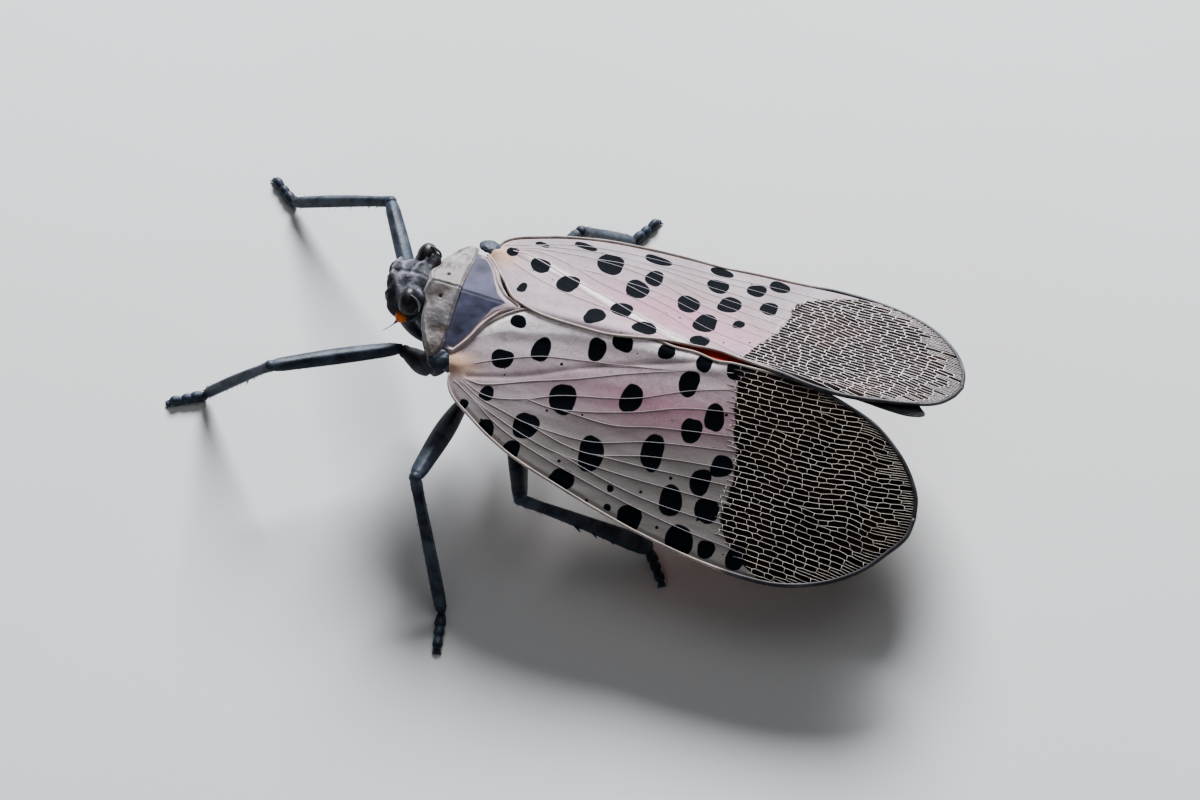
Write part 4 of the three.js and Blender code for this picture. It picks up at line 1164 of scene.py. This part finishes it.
def plate_grid(half_width, front, hind, top, grid, relief):
    """Upper and lower points of a curved plate that thins towards its rim, and distances from the rim."""
    rows, columns = grid
    y = half_width * np.sin(np.linspace(-0.5, 0.5, columns) * math.pi * 0.92) / math.sin(0.46 * math.pi)
    t, y = (side.ravel() for side in np.meshgrid(shares_of(rows), y, indexing="ij"))
    start, end = front(np.abs(y)), hind(np.abs(y))
    x = start + (end - start) * t
    rim = np.minimum(np.minimum(t, 1 - t) * (end - start), half_width - np.abs(y))
    z = top(x, np.abs(y)) + relief(x, y, rim) - PLATE_EDGE_DROP * smoothstep(0.14, 0, rim)
    depth = PLATE_THICKNESS * (0.25 + 0.75 * smoothstep(0, 0.4, rim))
    return np.stack([x, y, z], -1), np.stack([x, y, z - depth], -1), rim


def make_pronotum(material):
    def relief(x, y, rim):
        waves = 0.045 * roughness_of(flat(x * 1.3, y), 0.8, 2) + 0.022 * roughness_of(flat(x, y), 2.6, 3)
        groove = -0.04 * bell(y, MIDDLE_LINE_REACH) * smoothstep(-1.25, -0.9, x)
        brow = 0.05 * bell(rim - 0.14, 0.09) * smoothstep(0.0, -0.3, x)
        return waves + groove + brow + mounds(x, np.abs(y), PRONOTUM_MOUNDS)

    upper, lower, rim = plate_grid(
        PRONOTUM_HALF_WIDTH,
        lambda y: profile(PRONOTUM_FRONT, y),
        lambda y: profile(PRONOTUM_HIND, y),
        lambda x, y: profile(PRONOTUM_TOP, y),
        PRONOTUM_GRID,
        relief,
    )
    x, y, _ = upper.T
    line = 0.9 * bell(y, 0.045) * smoothstep(-1.3, -1.0, x)
    values = {
        "pit": np.maximum(line, mounds(x, np.abs(y), PRONOTUM_PITS)),
        "edge": smoothstep(0.22, 0.05, rim) * smoothstep(-0.2, -0.4, x),
    }
    make_sheet("pronotum", "shell", upper, lower, PRONOTUM_GRID[1], material, values)


def make_mesonotum(material):
    def relief(x, y, rim):
        seam = -0.02 * bell(y, MIDDLE_LINE_REACH) * smoothstep(2.3, 2.0, x)
        collar = 0.08 * bell(rim - 0.12, 0.09) - 0.04 * bell(rim - 0.27, 0.05)
        return 0.025 * roughness_of(flat(x, y, 1.0), 1.0) + seam + collar * smoothstep(0.2, 0.6, x)

    upper, lower, rim = plate_grid(
        MESONOTUM_HALF_WIDTH,
        lambda y: np.full(len(y), MESONOTUM_FRONT_X),
        lambda y: profile(MESONOTUM_HIND, y),
        lambda x, y: profile(MESONOTUM_TOP, y) - MESONOTUM_FALL * np.maximum(x, 0),
        MESONOTUM_GRID,
        relief,
    )
    x, y, _ = upper.T
    wide = 0.5 * smoothstep(1.2, 2.2, x)
    line = 0.85 * bell(y, MIDDLE_LINE_REACH) * smoothstep(2.3, 1.9, x)
    values = {
        "pit": np.maximum(mounds(x, np.abs(y), MESONOTUM_PATCH), line),
        "edge": smoothstep(0.38 + wide, 0.26 + wide, rim) * smoothstep(0.15, 0.5, x),
    }
    make_sheet("mesonotum", "shell", upper, lower, MESONOTUM_GRID[1], material, values)


def make_tegula(name, side, material):
    centre = TEGULA_CENTRE[name]
    points, faces, way = dome(centre, TEGULA_RADII, 50, 70)
    grooves = 0.03 * np.abs(np.sin(way[:, 0] * 3 + side * way[:, 1] * 2)) ** 0.6
    points = points + way * (grooves + 0.03 * roughness_of(way, 1.3))[:, None]
    points[:, 2] -= TEGULA_SLOPE * (side * points[:, 1] - abs(centre[1]))
    make_piece(f"tegula_{name}_plate", points, faces, material, [f"tegula_{name}"], {"bloom": 0.3})


def leg_tube(start, end, shape, bow, keel):
    """Leg segment between two joints: flattened, gently bowed and keeled along its length."""
    share = shares_of(LEG_RINGS)
    share = 0.6 * share + 0.4 * (1 - np.cos(share * math.pi)) / 2
    path = start + (end - start) * share[:, None]
    path[:, 2] += bow * np.sin(share * math.pi)
    points, faces = tube(path, profile(shape, share), LEG_SIDES, LEG_DEPTH)
    angle = np.tile(full_turn(LEG_SIDES), LEG_RINGS)
    middle = np.repeat(path, LEG_SIDES, axis=0)
    along = np.repeat(smoothstep(0, 0.12, share) * smoothstep(1, 0.88, share), LEG_SIDES)
    swell = 1 + keel * along * (np.abs(np.cos(2 * angle + 0.6)) ** 6 - 0.2)
    # Third value: pale bloom on the segment's upper side, partly real wax and partly a painted highlight
    # along the top
    return middle + (points - middle) * swell[:, None], faces, np.clip(np.sin(angle) * 0.9 + 0.2, 0, 1)


def cone(root, heading, length, radius, sides=8):
    """Spine that tapers to a fine tip."""
    share = shares_of(7)
    path = root + unit(heading) * length * share[:, None]
    return tube(path, radius * (1 - 0.9 * share), sides)


def add_spines(solid, kind, knee, shin, length, out):
    """Spines along the outside of the hind tibia, and the crown of spines at a tibia's end."""
    if kind == "hind":
        for share in SPINE_SHARES:
            root = knee + shin * length * share + out * 0.22
            solid.add(*cone(root, out * 0.85 + shin * 0.6, SPINE_LENGTH, SPINE_RADIUS), bloom=0.1)
    count, size = SPINE_CROWN[kind]
    for index in range(count):
        aside = turned(out, (index - (count - 1) / 2) / count * SPINE_CROWN_ARC, shin)
        root = knee + shin * (length - 0.35) + aside * 0.1
        solid.add(*cone(root, aside * 0.65 + shin * 0.8, size, 0.08), bloom=0.1)


def add_hairs(solid, name, kind, hip, knee, ankle):
    """Short hairs over femur and tibia."""
    draw = random.Random(name)
    for _ in range(HAIRS):
        share = draw.random()
        on_tibia = draw.random() < HAIRS_ON_TIBIA
        a, b = (knee, ankle) if on_tibia else (hip, knee)
        along = unit(b - a)
        aside = turned(Vector(np.cross(along, (0, 0, 1))).normalized(), draw.uniform(0, 2 * math.pi), along)
        radius = float(profile((TIBIA_SHAPE if on_tibia else FEMUR_SHAPE)[kind], [share])[0])
        root = a + (b - a) * share + aside * radius * 0.75
        hair = cone(root, aside * 0.55 + along * 0.8, draw.uniform(*HAIR_LENGTH), HAIR_RADIUS, 4)
        solid.add(*hair, bloom=0.1)


def add_foot(solid, ankle, claw, shin):
    """Tarsus of three joints on the floor, with its two claws and the pad between them."""
    foot, toe = ankle * (1, 1, 0), claw * (1, 1, 0)
    heading = unit(toe - foot)
    end = toe - heading * CLAW_LENGTH
    share = shares_of(70)
    radii = profile(TARSUS_SHAPE, share)
    path = foot + (end - foot) * share[:, None]
    path[:, 2] = radii
    solid.add(*tube(path, radii, 20), bloom=0.15)
    joint = [ankle + shin * -0.3, ankle, foot + heading * 0.2 + (0, 0, 0.2)]
    solid.add(*tube(joint, [0.17, 0.16, 0.14], 12), bloom=0.1)
    share = shares_of(12)
    for turn in (-CLAW_TURN, CLAW_TURN):
        path = end - heading * 0.08 + turned(heading, turn, (0, 0, 1)) * CLAW_LENGTH * share[:, None]
        path[:, 2] = 0.12 + 0.1 * np.sin(share * math.pi) * (1 - share) - 0.09 * share**2
        solid.add(*tube(path, np.interp(share, [0, 0.4, 1], [0.09, 0.07, 0.02]), 10), bloom=0.0)
    solid.add(*dome(end + heading * 0.12 + (0, 0, 0.1), PAD_RADII, 16, 20)[:2], bloom=0.5)


def make_leg(name, material):
    kind = name.split("_")[1]
    _, hip, knee, ankle, claw = leg_joints(name)
    solid = Solid()
    for start, end, shape, bow, keel in (
        (hip + unit(hip - knee) * 0.12, knee, FEMUR_SHAPE[kind], FEMUR_BOW, FEMUR_KEEL),
        (knee, ankle, TIBIA_SHAPE[kind], TIBIA_BOW, TIBIA_KEEL),
    ):
        points, faces, bloom = leg_tube(start, end, shape, bow, keel)
        solid.add(points, faces, bloom=bloom)
    solid.add(*dome(knee, KNEE_RADII, 16, 24)[:2], bloom=0.4)
    shin = unit(ankle - knee)
    out = (knee - hip) * (1, 1, 0)
    out = unit(out - shin * (out @ shin))
    add_spines(solid, kind, knee, shin, np.linalg.norm(ankle - knee), out)
    add_hairs(solid, name, kind, hip, knee, ankle)
    add_foot(solid, ankle, claw, shin)
    solid.piece(f"{name}_leg", material, "leg", [f"{name}_{part}" for part in ("femur", "tibia", "tarsus")])


def make_floor():
    corners = [(FLOOR_HALF_SIZE * x, FLOOR_HALF_SIZE * y, 0) for x, y in ((-1, -1), (1, -1), (1, 1), (-1, 1))]
    floor = add_mesh("floor", corners, [(0, 1, 2, 3)])
    shader = Shader("pale_floor")
    color = shader.blend(shader.noise(0.02), 0.3, 0.7, (0.66, 0.66, 0.64), (0.7, 0.7, 0.685))
    floor.data.materials.append(shader.finish(color, 0.8))


def make_lights():
    for name, (place, size, power, color) in LIGHTS.items():
        data = bpy.data.lights.new(name, "AREA")
        data.shape = "DISK"
        data.size = size
        data.energy = power
        data.color = color
        light = add_object(name, data)
        light.location = place
        light.rotation_euler = (Vector(LIGHT_TARGET) - Vector(place)).to_track_quat("-Z", "Y").to_euler()
    world = bpy.data.worlds.new("studio")
    world.use_nodes = True
    background = world.node_tree.nodes["Background"]
    background.inputs["Color"].default_value = SKY_COLOR
    background.inputs["Strength"].default_value = SKY_STRENGTH
    bpy.context.scene.world = world
    bpy.context.scene.view_settings.look = "AgX - Medium High Contrast"


def make_camera():
    data = bpy.data.cameras.new("camera")
    data.lens = CAMERA_LENS
    data.sensor_width = CAMERA_SENSOR
    data.clip_start = 0.01
    data.clip_end = 5
    camera = add_object("camera", data)
    camera.matrix_world = Matrix.Translation((np.array(CAMERA_PLACE) + ORIGIN) * MM)
    for angle, axis in ((CAMERA_AZIMUTH, "Z"), (90 - CAMERA_ELEVATION, "X"), (CAMERA_ROLL, "Z")):
        camera.matrix_world @= Matrix.Rotation(math.radians(angle), 4, axis)
    bpy.context.scene.camera = camera


def make_wings():
    membrane = forewing_material()
    vein = vein_material("forewing_vein", (0.42, 0.345, 0.35), (0.32, 0.255, 0.26))
    # The right wing's net veins are a paler copy of the left's: painted sheen where the right wing faces the
    # light
    nets = {
        "left": vein_material("net_vein_left", (0.72, 0.66, 0.58), (0.5, 0.455, 0.4)),
        "right": vein_material("net_vein_right_painted_sheen", (0.95, 0.88, 0.88), (0.72, 0.66, 0.65)),
    }
    rim = rim_material()
    hindwing = hindwing_material()
    for name in SIDES:
        make_forewing(name, membrane)
        make_main_veins(name, vein, rim)
        make_ridges(name, "net", Net(name).lines(), NET_HALF_WIDTH[name], NET_HEIGHT, 0, nets[name])
        make_hindwing(name, hindwing)


def make_insect():
    shell = leg_material()
    eye = eye_material()
    rim = vein_material("eye_rim", (0.34, 0.33, 0.36), (0.14, 0.14, 0.15))
    bulb = bulb_material()
    make_body(body_material())
    for name, side in SIDES.items():
        make_eye(name, side, eye, rim)
        make_antenna(name, side, bulb, shell)
    make_beak(shell)
    make_pronotum(pronotum_material())
    make_mesonotum(mesonotum_material())
    for name, side in SIDES.items():
        make_tegula(name, side, shell)
    make_wings()
    for name in LEGS:
        make_leg(name, shell)


make_camera()
make_lights()
make_floor()
make_insect()
